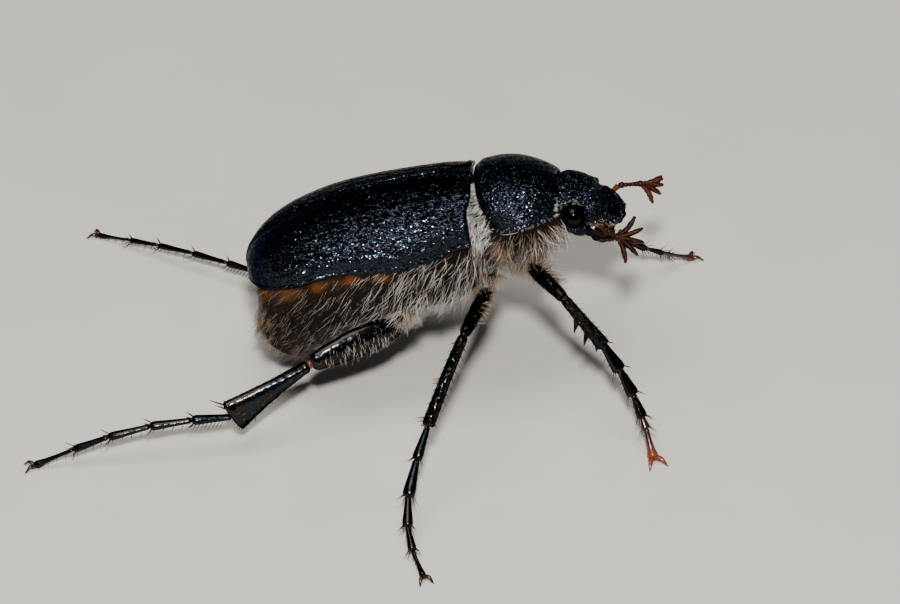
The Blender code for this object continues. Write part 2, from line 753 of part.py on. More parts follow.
# the part's origin is the middle of its footprint, on the floor
low = [min(v.co[k] for item in MADE for v in item.data.vertices) for k in range(3)]
high = [max(v.co[k] for item in MADE for v in item.data.vertices) for k in range(3)]
CENTRE = Vector(((low[0] + high[0]) / 2, (low[1] + high[1]) / 2, low[2]))
for item in MADE:
    item.data.transform(Matrix.Scale(MM, 4) @ Matrix.Translation(-CENTRE))
    item.data.update()
    item.data.shade_smooth()
    item.data.set_sharp_from_angle(angle=math.radians(50))
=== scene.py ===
"""The looks of the chafer beetle: fine shell plates, one hairy skin, glossy legs, camera, floor and light.

Shapes are worked out in millimetres, in the body's own frame or above the floor, and turned into metres last.
"""

import math

import bpy
import numpy as np
from mathutils import Matrix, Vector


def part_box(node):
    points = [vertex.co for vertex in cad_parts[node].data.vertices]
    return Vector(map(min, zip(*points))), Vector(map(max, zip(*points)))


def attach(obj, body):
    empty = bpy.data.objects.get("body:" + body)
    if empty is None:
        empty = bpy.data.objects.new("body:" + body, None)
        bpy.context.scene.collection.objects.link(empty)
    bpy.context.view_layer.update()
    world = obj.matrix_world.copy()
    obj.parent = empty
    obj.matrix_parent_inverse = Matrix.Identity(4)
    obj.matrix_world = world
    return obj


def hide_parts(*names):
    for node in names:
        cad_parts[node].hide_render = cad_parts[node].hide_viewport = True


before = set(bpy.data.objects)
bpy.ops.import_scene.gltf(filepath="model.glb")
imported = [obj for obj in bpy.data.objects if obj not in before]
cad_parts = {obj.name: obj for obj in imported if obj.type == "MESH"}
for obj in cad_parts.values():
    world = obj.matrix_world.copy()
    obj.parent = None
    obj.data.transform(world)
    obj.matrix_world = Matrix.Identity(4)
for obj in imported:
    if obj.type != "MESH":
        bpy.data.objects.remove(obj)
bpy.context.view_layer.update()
MM = 0.001
RANDOM = np.random.default_rng(11)
SIDES = (("left", 1), ("right", -1))

# ---- the body's attitude and driving sizes, as in the CAD: x forward, y to the beetle's left, z up
BODY_AT = np.array((0.64, 0.0, 7.26))
PITCH, ROLL = math.radians(12.0), math.radians(16.0)
ELYTRA_FRONT, ELYTRA_LENGTH, ELYTRA_HALF_WIDTH, ELYTRA_HEIGHT = 0.42, 9.27, 3.55, 2.55
SQUARENESS = 2.25
STRIAE = 9
REACH = 0.24  # how far the wing cases reach forward beside the scutellum
SCUTELLUM_LENGTH, SCUTELLUM_HALF_WIDTH = 1.25, 0.62
PRONOTUM_HIND, PRONOTUM_FRONT, PRONOTUM_RIM = 0.75, 4.0, 0.45
# share of the length, half width and height of the pronotum
PRONOTUM_SHAPE = ((0.0, 2.35, 1.84), (0.12, 2.6, 1.98), (0.4, 2.75, 1.95), (0.7, 2.4, 1.68),
                  (1.0, 1.75, 1.15))
HEAD_HIND, HEAD_FRONT = 3.60, 6.27
# x, half width, top, bottom and squareness of the head
HEAD_SHAPE = (
    (3.60, 1.22, 1.28, -0.58, 0.85), (4.03, 1.36, 1.40, -0.72, 0.85), (4.35, 1.44, 1.42, -0.93, 0.85),
    (4.70, 1.40, 1.30, -0.98, 0.85), (5.08, 1.28, 1.05, -0.93, 0.83), (5.34, 1.20, 0.72, -0.85, 0.78),
    (5.50, 1.18, 0.40, -0.78, 0.68), (5.66, 1.13, 0.22, -0.73, 0.62), (5.86, 1.01, 0.00, -0.69, 0.62),
    (6.04, 0.83, -0.26, -0.68, 0.62), (6.17, 0.60, -0.39, -0.68, 0.65), (6.26, 0.34, -0.41, -0.65, 0.70),
)
HEAD_ROLL = math.radians(8.4)
EYE_AT, EYE_RADIUS = np.array((4.36, 1.25, 0.33)), 0.50
# x and depth of the hind body and of the chest
BELLY = ((0.9, 2.0), (0.3, 2.38), (-0.8, 2.8), (-3.2, 2.95), (-5.5, 3.25), (-7.4, 4.0), (-8.3, 4.22),
         (-9.0, 3.5))
CHEST = ((0.9, 1.75), (1.8, 1.6), (2.8, 1.35), (3.4, 1.05), (3.9, 0.75))
TAIL, TAIL_SLANT, THORAX_END, TAIL_TURN = -8.74, 0.2, -3.3, -8.25
TAIL_BULGE, BULGE_HEIGHT = 0.66, -2.7  # how far the tail swells backwards, and where that is most
STERNITES = (-3.35, -4.45, -5.35, -6.2, -7.0, -7.75, -8.35)  # edges of the belly's plates
PLATE = 0.16  # thickness of the wing cases and the pronotum
COAT_DEPTH = 0.14  # how far the skin lies inside the solids
SKIN_UNDER_SHELL = 0.34

HIPS = {"front": (2.27, -1.2, -1.62), "mid": (0.50, -1.42, -2.26), "hind": (-3.1, -1.75, -2.98)}
# half length, half width, distance from the middle line, and x from the hip, of each coxa's base
COXAE = {
    "front": (0.50, 0.50, 0.80, -0.25),
    "mid": (0.55, 0.55, 1.05, -0.1),
    "hind": (0.55, 0.95, 1.35, 0.35),
}
# knee, ankle and end of the foot above the floor; the foot's sag, sideways swing and slimness; the claws'
# length and redness
LEGS = {
    "front_right": ((4.44, -3.90, 6.66), (6.00, -3.70, 4.20), (7.98, -5.72), (0.10, -0.40, 1), (0.58, 0.90)),
    "mid_right": ((0.55, -5.54, 6.20), (-0.86, -7.73, 3.40), (-1.02, -12.9), (0.50, 0.72, 1), (0.40, 0.30)),
    "hind_right": ((-5.48, -4.10, 3.56), (-8.56, -5.20, 1.80), (-16.3, -6.20), (-0.55, 0, 1), (0.40, 0.30)),
    # The left front foot's claws and last segments get less redness than the right ones: painted shade on the
    # far foot.
    "front_left": ((4.75, 2.60, 5.35), (6.24, 4.55, 3.45), (9.85, 7.15), (0.20, 0, 0.62), (0.44, 0.50)),
    "mid_left": ((1.20, 4.00, 3.95), (0.20, 7.10, 2.30), (-0.55, 12.4), (0.45, -0.6, 1), (0.40, 0.30)),
    "hind_left": ((-4.62, 2.95, 1.92), (-7.70, 4.85, 1.15), (-14.45, 8.68), (-0.22, 0, 0.72), (0.40, 0.30)),
}
# femur's breadth and thickness, shin's breadth at both ends, lengths of the foot's segments
LIMBS = {
    "front": (0.80, 0.58, 0.42, 0.60, (1.25, 1.2, 1.05, 0.5, 1.3)),
    "mid": (0.80, 0.60, 0.50, 0.64, (1.3, 1.5, 1.35, 1.2, 1.45)),
    "hind": (1.24, 0.68, 0.48, 1.70, (1.7, 1.8, 1.8, 1.5, 1.7)),
}
# shin's thickness at the knee, and how much is added on the way to the ankle
SHIN_THICKNESS = {"front": (0.42, 0.06), "mid": (0.42, 0.10), "hind": (0.50, 0.22)}
# width of each foot segment at its far end, and of the segments' near ends as a share of that
TARSOMERES = {
    "front": ((0.62, 0.54, 0.44, 0.38, 0.46), 0.62),
    "mid": ((0.42, 0.50, 0.42, 0.33, 0.27), 0.60),
    "hind": ((0.44, 0.41, 0.38, 0.35, 0.31), 0.68),
}
FOOT_RADIUS = 0.16
# base, bend, hub, angles of the first and last blade, and their length
ANTENNAE = {
    "right": ((5.28, -1.34, -0.42), (5.60, -1.55, -0.62), (5.93, -1.74, -0.86), 51.0, -74.0, 1.10),
    "left": ((5.56, 1.34, -0.20), (6.06, 1.50, 0.04), (6.88, 1.80, -0.16), 22.0, -60.0, 0.94),
}
BLADES = 5

FLOOR_GAP = 0.003  # the least height of any point
ROUND = (1.0, 1.0, 1.0)
UP, ASIDE = np.array((0.0, 0.0, 1.0)), np.array((0.0, 1.0, 0.0))


# ---- small mathematics


def unit(v):
    return v / np.maximum(np.linalg.norm(v, axis=-1, keepdims=True), 1e-12)


def steps(count):
    return np.linspace(0, 1, count)


def turns(count):
    """Angles all the way round."""
    return 2 * math.pi * np.arange(count) / count


def lerp(a, b, s):
    return a + (b - a) * np.asarray(s)[..., None]


def table(rows, x, column=1):
    """A smooth curve through the rows' first column and the given one, held level past both ends."""
    rows = np.array(sorted(rows), float)
    xs, ys = rows[:, 0], rows[:, column]
    k = np.arange(len(xs))
    low, high = np.maximum(k - 1, 0), np.minimum(k + 1, k[-1])
    slopes = (ys[high] - ys[low]) / (xs[high] - xs[low])
    x = np.clip(np.asarray(x, float), xs[0], xs[-1])
    i = np.clip(np.searchsorted(xs, x, side="right") - 1, 0, k[-1] - 1)
    h = xs[i + 1] - xs[i]
    t = (x - xs[i]) / h
    near = (2 * t**3 - 3 * t**2 + 1) * ys[i] + (t**3 - 2 * t**2 + t) * h * slopes[i]
    return near + (3 * t**2 - 2 * t**3) * ys[i + 1] + (t**3 - t**2) * h * slopes[i + 1]


def power(value, exponent):
    return np.sign(value) * np.abs(value) ** exponent


def ease(value, low, high):
    """0 below low, 1 above high, and a smooth step between them."""
    t = np.clip((value - low) / (high - low), 0, 1)
    return t * t * (3 - 2 * t)


def hump(value, middle, width):
    return np.exp(-(((value - middle) / width) ** 2))


def ripple(points, wave, seed=0):
    """A smooth pseudo-random field between about -1 and 1, from sines in mixed directions."""
    mixed = np.random.default_rng(seed)
    total = np.zeros(points.shape[:-1])
    for _ in range(7):
        way = mixed.normal(size=3)
        way *= mixed.uniform(0.6, 1.5) / np.linalg.norm(way)
        total += np.sin(points @ way * (2 * math.pi / wave) + mixed.uniform(0, 2 * math.pi))
    return total / 3.0


def stack(*parts):
    return np.stack(np.broadcast_arrays(*parts), axis=-1)


def capped(s, share):
    """A factor that rounds off both ends of a length: 0 at s = 0 and s = 1."""
    near = np.clip(np.minimum(s, 1 - s) / share, 0, 1)
    return np.sqrt(np.clip(1 - (1 - near) ** 2, 0, 1))


def round_steps(count, share=0.08):
    """Shares from 0 to 1 that crowd together at both ends."""
    k = steps(count)
    return (1 - share * 2) * k + share * (1 - np.cos(math.pi * k))


ATTITUDE = np.array(Matrix.Rotation(-PITCH, 3, "Y") @ Matrix.Rotation(-ROLL, 3, "X"))
HEAD_TURN = np.array(Matrix.Rotation(HEAD_ROLL, 3, "X"))
EYE_BOXES = [np.array(corner) / MM for side in ("left", "right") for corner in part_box("eye_" + side)]
CENTRE = ATTITUDE @ HEAD_TURN @ (EYE_AT * (1, 0, 1)) + BODY_AT - sum(EYE_BOXES) / 4


def placed(points):
    """Points of the body's own frame, in millimetres of the part's frame."""
    return points @ ATTITUDE.T + BODY_AT - CENTRE


def head_placed(points):
    """Points of the head's own frame, which leans back towards level, in millimetres of the part's frame."""
    return placed(np.asarray(points) @ HEAD_TURN.T)


def turned(direction):
    return np.asarray(direction, float) @ ATTITUDE.T


BACK = turned((-1.0, 0.0, 0.0))


# ---- meshes


def grid_faces(rows, cols, wrap=False, base=0):
    r, c = np.meshgrid(np.arange(rows - 1), np.arange(cols if wrap else cols - 1), indexing="ij")
    d = (c + 1) % cols
    quads = np.stack((r * cols + c, r * cols + d, (r + 1) * cols + d, (r + 1) * cols + c), axis=-1)
    return quads.reshape(-1, 4) + base


def outward(grid, wrap=False):
    """Normals turned away from the grid's middle line."""
    across = np.roll(grid, -1, axis=1) - np.roll(grid, 1, axis=1) if wrap else np.gradient(grid, axis=1)
    normals = unit(np.cross(across, np.gradient(grid, axis=0)))
    middle = grid.mean(axis=1, keepdims=True)
    return -normals if np.sum((grid - middle) * normals) < 0 else normals


def lifted(grid, height, wrap=True):
    """The grid moved outwards by height."""
    return grid + outward(grid, wrap) * height[..., None]


def plate_shape(outer, inner):
    """A closed plate between two grids of the same size: (points, faces)."""
    rows, cols = outer.shape[:2]
    half = rows * cols
    grid = np.arange(half).reshape(rows, cols)
    faces = [grid_faces(rows, cols), grid_faces(rows, cols, base=half)[:, ::-1]]
    for edge, flip in ((grid[:, 0], 1), (grid[:, -1], -1), (grid[0], -1), (grid[-1], 1)):
        a, b = edge[:-1], edge[1:]
        faces.append(np.stack((a, b, b + half, a + half), axis=-1)[:, ::flip])
    return np.concatenate((outer.reshape(-1, 3), inner.reshape(-1, 3))), faces


def tube_shape(rings):
    """A closed tube through rings of points: (points, faces)."""
    rows, cols = rings.shape[:2]
    ends = np.stack((rings[0].mean(axis=0), rings[-1].mean(axis=0)))
    c = np.arange(cols)
    d = (c + 1) % cols
    far = (rows - 1) * cols
    first = stack(rows * cols, d, c)
    last = stack(rows * cols + 1, far + c, far + d)
    return np.concatenate((rings.reshape(-1, 3), ends)), [grid_faces(rows, cols, True), first, last]


def joined(shapes):
    """Several shapes as one, each still closed."""
    bases = np.cumsum([0] + [len(points) for points, _ in shapes])
    faces = [face + base for (_, group), base in zip(shapes, bases) for face in group]
    return np.concatenate([points for points, _ in shapes]), faces


def turned_out(points, faces):
    """The faces, flipped if the shape's volume comes out negative."""
    volume = 0.0
    for face in faces:
        for k in range(1, face.shape[1] - 1):
            volume += np.sum(points[face[:, 0]] * np.cross(points[face[:, k]], points[face[:, k + 1]]))
    return [face[:, ::-1] for face in faces] if volume < 0 else faces


def piece(name, shape, look, stands_for=(), uvs=None, tone=None):
    """A mesh object in metres that rides with the beetle, with nothing below the floor."""
    points, faces = shape[0], turned_out(*shape)
    points[:, 2] = np.maximum(points[:, 2], FLOOR_GAP)
    mesh = bpy.data.meshes.new(name)
    loops = np.concatenate([face.ravel() for face in faces]).astype(np.int32)
    sizes = np.concatenate([np.full(len(face), face.shape[1]) for face in faces])
    mesh.vertices.add(len(points))
    mesh.vertices.foreach_set("co", (points * MM).astype(np.float32).ravel())
    mesh.loops.add(len(loops))
    mesh.loops.foreach_set("vertex_index", loops)
    mesh.polygons.add(len(sizes))
    mesh.polygons.foreach_set("loop_start", np.concatenate(([0], np.cumsum(sizes)[:-1])).astype(np.int32))
    mesh.polygons.foreach_set("use_smooth", np.ones(len(sizes), bool))
    if uvs is not None:
        mesh.uv_layers.new(name="OFBake").data.foreach_set("uv", uvs[loops].astype(np.float32).ravel())
    if tone is not None:
        tones = np.broadcast_to(tone, len(points)).astype(np.float32)
        mesh.attributes.new("tone", "FLOAT", "POINT").data.foreach_set("value", tones)
    mesh.update(calc_edges=True)
    mesh.validate()
    mesh.materials.append(look)
    made = bpy.data.objects.new(name, mesh)
    bpy.context.scene.collection.objects.link(made)
    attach(made, "root")
    if stands_for:
        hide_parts(*stands_for)


def fine(node, shape, look, tone=None):
    """The detailed piece that stands for one CAD node."""
    piece(node + "_fine", shape, look, [node], tone=tone)


def swept(path, widths, heights, hint, sides=24):
    """Rings along a path: the width lies across both the path and hint, the height towards hint."""
    ahead = unit(np.gradient(path, axis=0))
    side = unit(np.cross(ahead, np.broadcast_to(hint, ahead.shape)))
    top = np.cross(side, ahead)
    t = turns(sides)
    across = side[:, None] * (widths[:, None] / 2 * np.cos(t))[..., None]
    above = top[:, None] * (heights[:, None] / 2 * np.sin(t))[..., None]
    return path[:, None] + across + above


def barrel(start, end, wide, high, least, hint, sides, k):
    """A short tube from start to end, rounded at both ends."""
    size = capped(k, 0.5)
    return tube_shape(swept(lerp(start, end, k), wide * size + least, high * size + least, hint, sides))


# ---- hairs and spines

STRAND_SHARES = np.array((0.0, 0.3, 0.6, 0.85))
PAINTED_ROOT_SHADE = 0.34  # how much darker a strand is painted at its root: painted shade for the shade between the hairs
PATCH, EDGE = 0.003, 0.001  # width of a strand's own patch of the unwrap, and a margin round them all


def strand_shape(roots, middles, tips, widths, sides=3, blunt=0.0):
    """Tapered hairs along bent lines, one closed body each: (points, faces, points in each, share along)."""
    count, shares = len(roots), STRAND_SHARES
    s = shares[None, :, None]
    r, m, t = roots[:, None], middles[:, None], tips[:, None]
    line = (1 - s) ** 2 * r + 2 * s * (1 - s) * m + s**2 * t
    ahead = unit(2 * (1 - s) * (m - r) + 2 * s * (t - m) + 1e-9)
    helper = np.where(np.abs(ahead[..., 2:3]) > 0.9, (1.0, 0.0, 0.0), (0.0, 0.0, 1.0))
    side = unit(np.cross(ahead, helper))
    top = np.cross(ahead, side)
    radius = widths[:, None] / 2 * (1 - (1 - blunt) * shares[None] ** 1.6)
    a = turns(sides)[None, None, :, None]
    ring = side[:, :, None] * np.cos(a) + top[:, :, None] * np.sin(a)
    points = line[:, :, None] + ring * radius[:, :, None, None]
    points = np.concatenate((points.reshape(count, -1, 3), tips[:, None]), axis=1).reshape(-1, 3)
    per = len(shares) * sides + 1
    c = np.arange(sides)
    last = per - 1 - sides
    cap = stack(last + c, last + (c + 1) % sides, per - 1)
    offsets = (np.arange(count) * per)[:, None, None]
    groups = (grid_faces(len(shares), sides, True), cap, c[None, ::-1])
    faces = [(group[None] + offsets).reshape(-1, group.shape[1]) for group in groups]
    return points, faces, per, np.tile(np.concatenate((np.repeat(shares, sides), (1.0,))), count)


def scatter(grid, count, weight, wrap=True):
    """Random roots on a grid, denser where weight is larger: points, normals and places on its unwrap."""
    rows, cols = grid.shape[:2]
    right = np.roll(grid, -1, axis=1) if wrap else np.concatenate((grid[:, 1:], grid[:, -1:]), axis=1)
    area = np.linalg.norm(np.cross(right[:-1] - grid[:-1], grid[1:] - grid[:-1]), axis=-1)
    chance = (area * np.maximum(weight[:-1], 0)).ravel()
    picks = RANDOM.choice(chance.size, size=count, p=chance / chance.sum())
    r, c = picks // cols, picks % cols
    fr, fc = RANDOM.random((2, count))
    d = (c + 1) % cols if wrap else np.minimum(c + 1, cols - 1)

    def mix(values):
        near = values[r, c] * (1 - fc)[:, None] + values[r, d] * fc[:, None]
        far = values[r + 1, c] * (1 - fc)[:, None] + values[r + 1, d] * fc[:, None]
        return near * (1 - fr)[:, None] + far * fr[:, None]

    places = np.stack(((c + fc) / cols, (r + fr) / rows), axis=-1)
    return mix(grid), unit(mix(outward(grid, wrap))), places


class Coat:
    """Tufts gathered from several regions into one joined mesh."""

    def __init__(self):
        self.rows = []

    def add(self, spots, lie, length, width, tone, strands, lift, spread, wild, gather, droop=0.0, curl=0.5):
        """Tufts at spots: lie is their way, lift how far they stand up, gather how far tips draw together."""
        roots, normals, places = spots
        count = len(roots)
        total = count * strands
        lie = np.broadcast_to(np.asarray(lie, float), roots.shape)
        flat = unit(lie - normals * np.sum(lie * normals, axis=-1, keepdims=True))
        way = flat + normals * lift * RANDOM.uniform(0.6, 1.4, (count, 1))
        way = unit(way + RANDOM.normal(0, wild, (count, 3)))
        long = RANDOM.uniform(*length, count)
        aim = roots + way * long[:, None]
        r, n, w, a = (np.repeat(v, strands, axis=0) for v in (roots, normals, way, aim))
        long = np.repeat(long, strands) * RANDOM.uniform(0.72, 1.1, total)
        shift = unit(np.cross(n, w)) * RANDOM.normal(0, spread, (total, 1))
        shift += w * RANDOM.normal(0, spread, (total, 1))
        shift -= n * np.sum(shift * n, axis=-1, keepdims=True)
        start = r + shift - n * 0.02
        own = unit(w + RANDOM.normal(0, wild * 0.8, (total, 3)))
        tip = start + own * long[:, None]
        tip += gather * (a - tip) - UP * (droop * long)[:, None]
        middle = (start + tip) / 2 + n * (curl * 0.25 * long)[:, None]
        widths = np.full(total, width) * RANDOM.uniform(0.75, 1.2, total)
        tone = np.broadcast_to(tone, (count,)) + RANDOM.normal(0, 0.07, count)
        tones = np.repeat(tone, strands) + RANDOM.normal(0, 0.05, total)
        self.rows.append((start, middle, tip, widths, np.repeat(places, strands, axis=0), tones))

    def make(self, name, slot, blunt=0.0):
        """One mesh; each strand has its own patch of the unwrap, at its root's place."""
        roots, middles, tips, widths, places, tones = (np.concatenate(column) for column in zip(*self.rows))
        points, faces, per, share = strand_shape(roots, middles, tips, widths, 3, blunt)
        around = np.tile((*np.tile(np.arange(3) / 3, len(STRAND_SHARES)), 0.5), len(roots))
        patch = np.stack((around, share), axis=-1) * PATCH
        uvs = EDGE + np.repeat(places, per, axis=0) * (1 - PATCH - 2 * EDGE) + patch
        # Each strand's tone, darkened towards its root: painted shade for the shade between the hairs.
        shade = np.repeat(tones, per) - PAINTED_ROOT_SHADE * (1 - share) ** 2
        piece(name, (points, faces), HAIR, uvs=uvs, tone=shade)


class Spines:
    """Stout tapered spines, gathered into one joined mesh."""

    def __init__(self):
        self.rows = []

    def add(self, root, way, length, width, tone):
        reach = unit(way) * length
        self.rows.append((root, root + reach * 0.5, root + reach, width, tone))

    def shape(self):
        roots, middles, tips, widths, tones = (np.array(column) for column in zip(*self.rows))
        points, faces, per, share = strand_shape(roots, middles, tips, widths, 7, 0.12)
        return (points, faces), np.repeat(tones, per) - 0.25 * (1 - share)


# ---- materials


class Look:
    """A Principled material under construction, with object coordinates in millimetres."""

    def __init__(self, name, colour, roughness, **sockets):
        self.material = bpy.data.materials.new(name)
        self.material.use_nodes = True
        self.nodes, self.links = self.material.node_tree.nodes, self.material.node_tree.links
        self.shader = self.nodes["Principled BSDF"]
        self.set(self.shader, Base_Color=(*colour, 1.0), Roughness=roughness, **sockets)
        self.place = self.node("TexCoord").outputs["Object"]

    def set(self, node, **sockets):
        for socket, value in sockets.items():
            node.inputs[socket.replace("_", " ")].default_value = value

    def node(self, kind, *links, **settings):
        """A new node, with links from outputs to its inputs: (output, input's name or number)."""
        made = self.nodes.new("ShaderNode" + kind)
        for key, value in settings.items():
            setattr(made, key, value)
        for output, socket in links:
            self.links.new(output, made.inputs[socket])
        return made

    def pattern(self, kind, wave, stretch, **sockets):
        """A texture whose features are about wave millimetres across."""
        mapping = self.node("Mapping", (self.place, "Vector"))
        self.set(mapping, Scale=tuple(k / (wave * MM) for k in stretch))
        made = self.node(kind, (mapping.outputs["Vector"], "Vector"))
        self.set(made, Scale=1.0, **sockets)
        return made.outputs

    def noise(self, wave, detail=2.0):
        return self.pattern("TexNoise", wave, ROUND, Detail=detail)["Fac"]

    def cells(self, wave, stretch=ROUND, randomness=1.0, output="Distance"):
        """Random cells: the distance from each one's middle, or its own random Color."""
        return self.pattern("TexVoronoi", wave, stretch, Randomness=randomness)[output]

    def span(self, value, low, high, to_low=0.0, to_high=1.0):
        made = self.node("MapRange", (value, "Value"), interpolation_type="SMOOTHSTEP")
        self.set(made, From_Min=low, From_Max=high, To_Min=to_low, To_Max=to_high)
        return made.outputs["Result"]

    def toned(self, wave, detail, share):
        """The piece's own tone, with a share of noise added."""
        tone = self.node("Attribute", attribute_name="tone").outputs["Fac"]
        made = self.node("Math", (self.noise(wave, detail), 0), (tone, 2), operation="MULTIPLY_ADD")
        made.inputs[1].default_value = share
        return made.outputs[0]

    def paint(self, value, *stops, glow=1.0):
        """The base colour, from stops of (value, red, green, blue); glow brightens them all."""
        made = self.node("ValToRGB", (value, "Fac"))
        elements = made.color_ramp.elements
        while len(elements) < len(stops):
            elements.new(0.5)
        for element, (place, *colour) in zip(elements, stops):
            element.position, element.color = place, (*(glow * part for part in colour), 1.0)
        self.links.new(made.outputs["Color"], self.shader.inputs["Base Color"])

    def gloss(self, wave, detail, low, high, least, most):
        """Roughness from least to most, in patches of noise."""
        output = self.span(self.noise(wave, detail), low, high, least, most)
        self.links.new(output, self.shader.inputs["Roughness"])

    def bump(self, *layers):
        """Layers of (height output, depth in millimetres), the coarsest first."""
        below = []
        for height, depth in layers:
            made = self.node("Bump", (height, "Height"), *below)
            self.set(made, Strength=1.0, Distance=depth * MM)
            below = [(made.outputs["Normal"], "Normal")]
        self.links.new(made.outputs["Normal"], self.shader.inputs["Normal"])

    def facets(self, stretch, *layers):
        """Tilts the surface at random, cell by cell: layers of (cell size in millimetres, tilt)."""
        normal = self.shader.inputs["Normal"].links[0].from_socket
        for wave, tilt in layers:
            made = self.node("VectorMath", operation="MULTIPLY_ADD")
            self.links.new(self.cells(wave, stretch, output="Color"), made.inputs[0])
            made.inputs[1].default_value = (tilt,) * 3
            made.inputs[2].default_value = (-tilt / 2,) * 3
            normal = self.node("VectorMath", (normal, 0), (made.outputs[0], 1), operation="ADD").outputs[0]
        made = self.node("VectorMath", (normal, 0), operation="NORMALIZE")
        self.links.new(made.outputs[0], self.shader.inputs["Normal"])


def shell_look(name, pit_wave, pit_depth, stretch, roughness, glow, tilt):
    """Black, pitted cuticle under a thin blue sheen, with tiny facets of which a few catch the light."""
    look = Look(name, (0.018, 0.024, 0.032), roughness, Metallic=1.0, Specular_Tint=(0.32, 0.34, 0.37, 1.0))
    tints = ((0.30, 0.015, 0.024, 0.035), (0.50, 0.031, 0.041, 0.049), (0.72, 0.031, 0.028, 0.043))
    look.paint(look.cells(0.07, stretch, output="Color"), *tints, glow=glow)
    look.gloss(0.30, 3.0, 0.3, 0.7, roughness - 0.03, roughness + 0.05)
    look.bump((look.span(look.cells(pit_wave, stretch), 0.05, 0.60), pit_depth))
    look.facets(stretch, (0.058, 0.54 * tilt), (0.038, 0.50 * tilt))
    return look.material


def limb_look(name, roughness, depth, tilt, glow):
    """Glossy black cuticle, a little brown where it is thin, with scattered pits; tilt makes it glitter."""
    look = Look(name, (0.024, 0.020, 0.018), 0.2, Metallic=1.0, Specular_Tint=(0.26, 0.24, 0.24, 1.0))
    look.paint(look.noise(0.8, 3.0), (0.35, 0.014, 0.017, 0.020), (0.75, 0.025, 0.016, 0.013), glow=glow)
    look.gloss(0.22, 3.0, 0.35, 0.75, roughness - 0.04, roughness + 0.04)
    pits = look.span(look.cells(0.17), 0.10, 0.34)
    look.bump((look.noise(0.35), depth), (pits, depth))
    look.facets(ROUND, (0.10, tilt), (0.055, 0.8 * tilt))
    return look.material


def skin_look():
    """Dark brown, finely rough skin, orange-brown in the soft membranes: tone 0 is dark and 1 is membrane."""
    look = Look("underside", (0.02, 0.012, 0.008), 0.5, Specular_IOR_Level=0.07)
    look.paint(look.toned(0.5, 3.0, 0.35), (0.12, 0.0030, 0.0021, 0.0017), (0.45, 0.013, 0.0062, 0.0033),
               (0.80, 0.20, 0.066, 0.010), (1.0, 0.48, 0.20, 0.035))
    look.gloss(0.2, 2.0, 0.3, 0.7, 0.34, 0.58)
    pits = look.span(look.cells(0.13), 0.10, 0.40)
    look.bump((look.noise(0.25, 3.0), 0.03), (pits, 0.012), (look.noise(0.05), 0.004))
    return look.material


def feeler_look():
    """Red-brown, half clear cuticle of the antennae and palps: tone 0 is dark and 1 is light."""
    look = Look("feeler", (0.10, 0.028, 0.010), 0.28, Specular_IOR_Level=0.14, Subsurface_Weight=0.05)
    look.set(look.shader, Subsurface_Radius=(0.9, 0.35, 0.15), Subsurface_Scale=0.12 * MM)
    look.paint(look.toned(0.25, 2.0, 0.3), (0.1, 0.0040, 0.0018, 0.0014), (0.6, 0.050, 0.0095, 0.0026),
               (1.0, 0.17, 0.040, 0.008))
    look.gloss(0.08, 2.0, 0.3, 0.7, 0.25, 0.45)
    look.bump((look.noise(0.05), 0.006), (look.span(look.cells(0.045), 0.1, 0.4), 0.003))
    return look.material


def spine_look():
    """Spines and claws: black at tone 0, clear red-brown at tone 1."""
    look = Look("spine", (0.08, 0.020, 0.008), 0.24, Specular_IOR_Level=0.6)
    look.paint(look.toned(0.15, 2.0, 0.2), (0.1, 0.004, 0.003, 0.0025), (0.6, 0.045, 0.011, 0.005),
               (1.0, 0.17, 0.040, 0.013))
    look.bump((look.noise(0.05), 0.003))
    return look.material


def hair_look():
    """Fine silky hair: dark brown at tone 0, golden at 0.5, silver white at 1."""
    look = Look("hair", (0.5, 0.42, 0.32), 0.30, Specular_IOR_Level=0.6, Sheen_Weight=0.15)
    look.paint(look.toned(0.3, 1.0, 0.10), (0.05, 0.016, 0.010, 0.006), (0.30, 0.085, 0.048, 0.022),
               (0.55, 0.34, 0.22, 0.11), (0.78, 0.45, 0.42, 0.375), (1.0, 0.92, 0.92, 0.91))
    look.bump((look.noise(0.04, 1.0), 0.002))
    return look.material


def eye_look():
    """Black, finely faceted and very glossy."""
    look = Look("eye", (0.012, 0.012, 0.013), 0.11, Metallic=1.0, Specular_Tint=(0.10, 0.10, 0.10, 1.0))
    look.paint(look.noise(0.4, 1.0), (0.3, 0.011, 0.011, 0.012), (0.8, 0.013, 0.012, 0.012))
    look.bump((look.cells(0.030, randomness=0.15), 0.0004))
    return look.material


def floor_look():
    look = Look("floor", (0.70, 0.665, 0.61), 0.85, Specular_IOR_Level=0.2)
    look.paint(look.noise(6.0, 4.0), (0.3, 0.68, 0.645, 0.59), (0.7, 0.72, 0.685, 0.63))
    return look.material


ELYTRON = shell_look("wing_case", 0.11, 0.010, (0.55, 1.0, 1.0), 0.155, 0.95, 1.0)
PRONOTUM = shell_look("pronotum_shell", 0.11, 0.012, ROUND, 0.150, 1.25, 1.15)
HEAD = shell_look("head_shell", 0.12, 0.015, ROUND, 0.160, 1.25, 2.2)
LIMB, SMOOTH = limb_look("limb", 0.14, 0.006, 0.40, 1.0), limb_look("limb_smooth", 0.20, 0.0025, 0.06, 1.5)
SKIN, FEELER, SPINE, HAIR, EYE = skin_look(), feeler_look(), spine_look(), hair_look(), eye_look()


# ---- wing cases


def back_share(x):
    """How far back x lies along the wing cases: 0 at their front and nearly 1 at their end."""
    return np.clip((ELYTRA_FRONT - x) / ELYTRA_LENGTH, 0.0, 0.9999)


def half_width(x):
    u = back_share(x)
    return ELYTRA_HALF_WIDTH * np.sqrt(1 - u**6.5) * (1 - 0.155 * np.maximum(0.0, 1 - u / 0.4) ** 2)


def crown(x):
    u = back_share(x)
    front = (1 - 0.05 * np.maximum(0.0, 1 - u / 0.5)) * (1 - 0.03 * np.maximum(0.0, 1 - u / 0.08))
    return ELYTRA_HEIGHT * np.sqrt(1 - u**3) * front


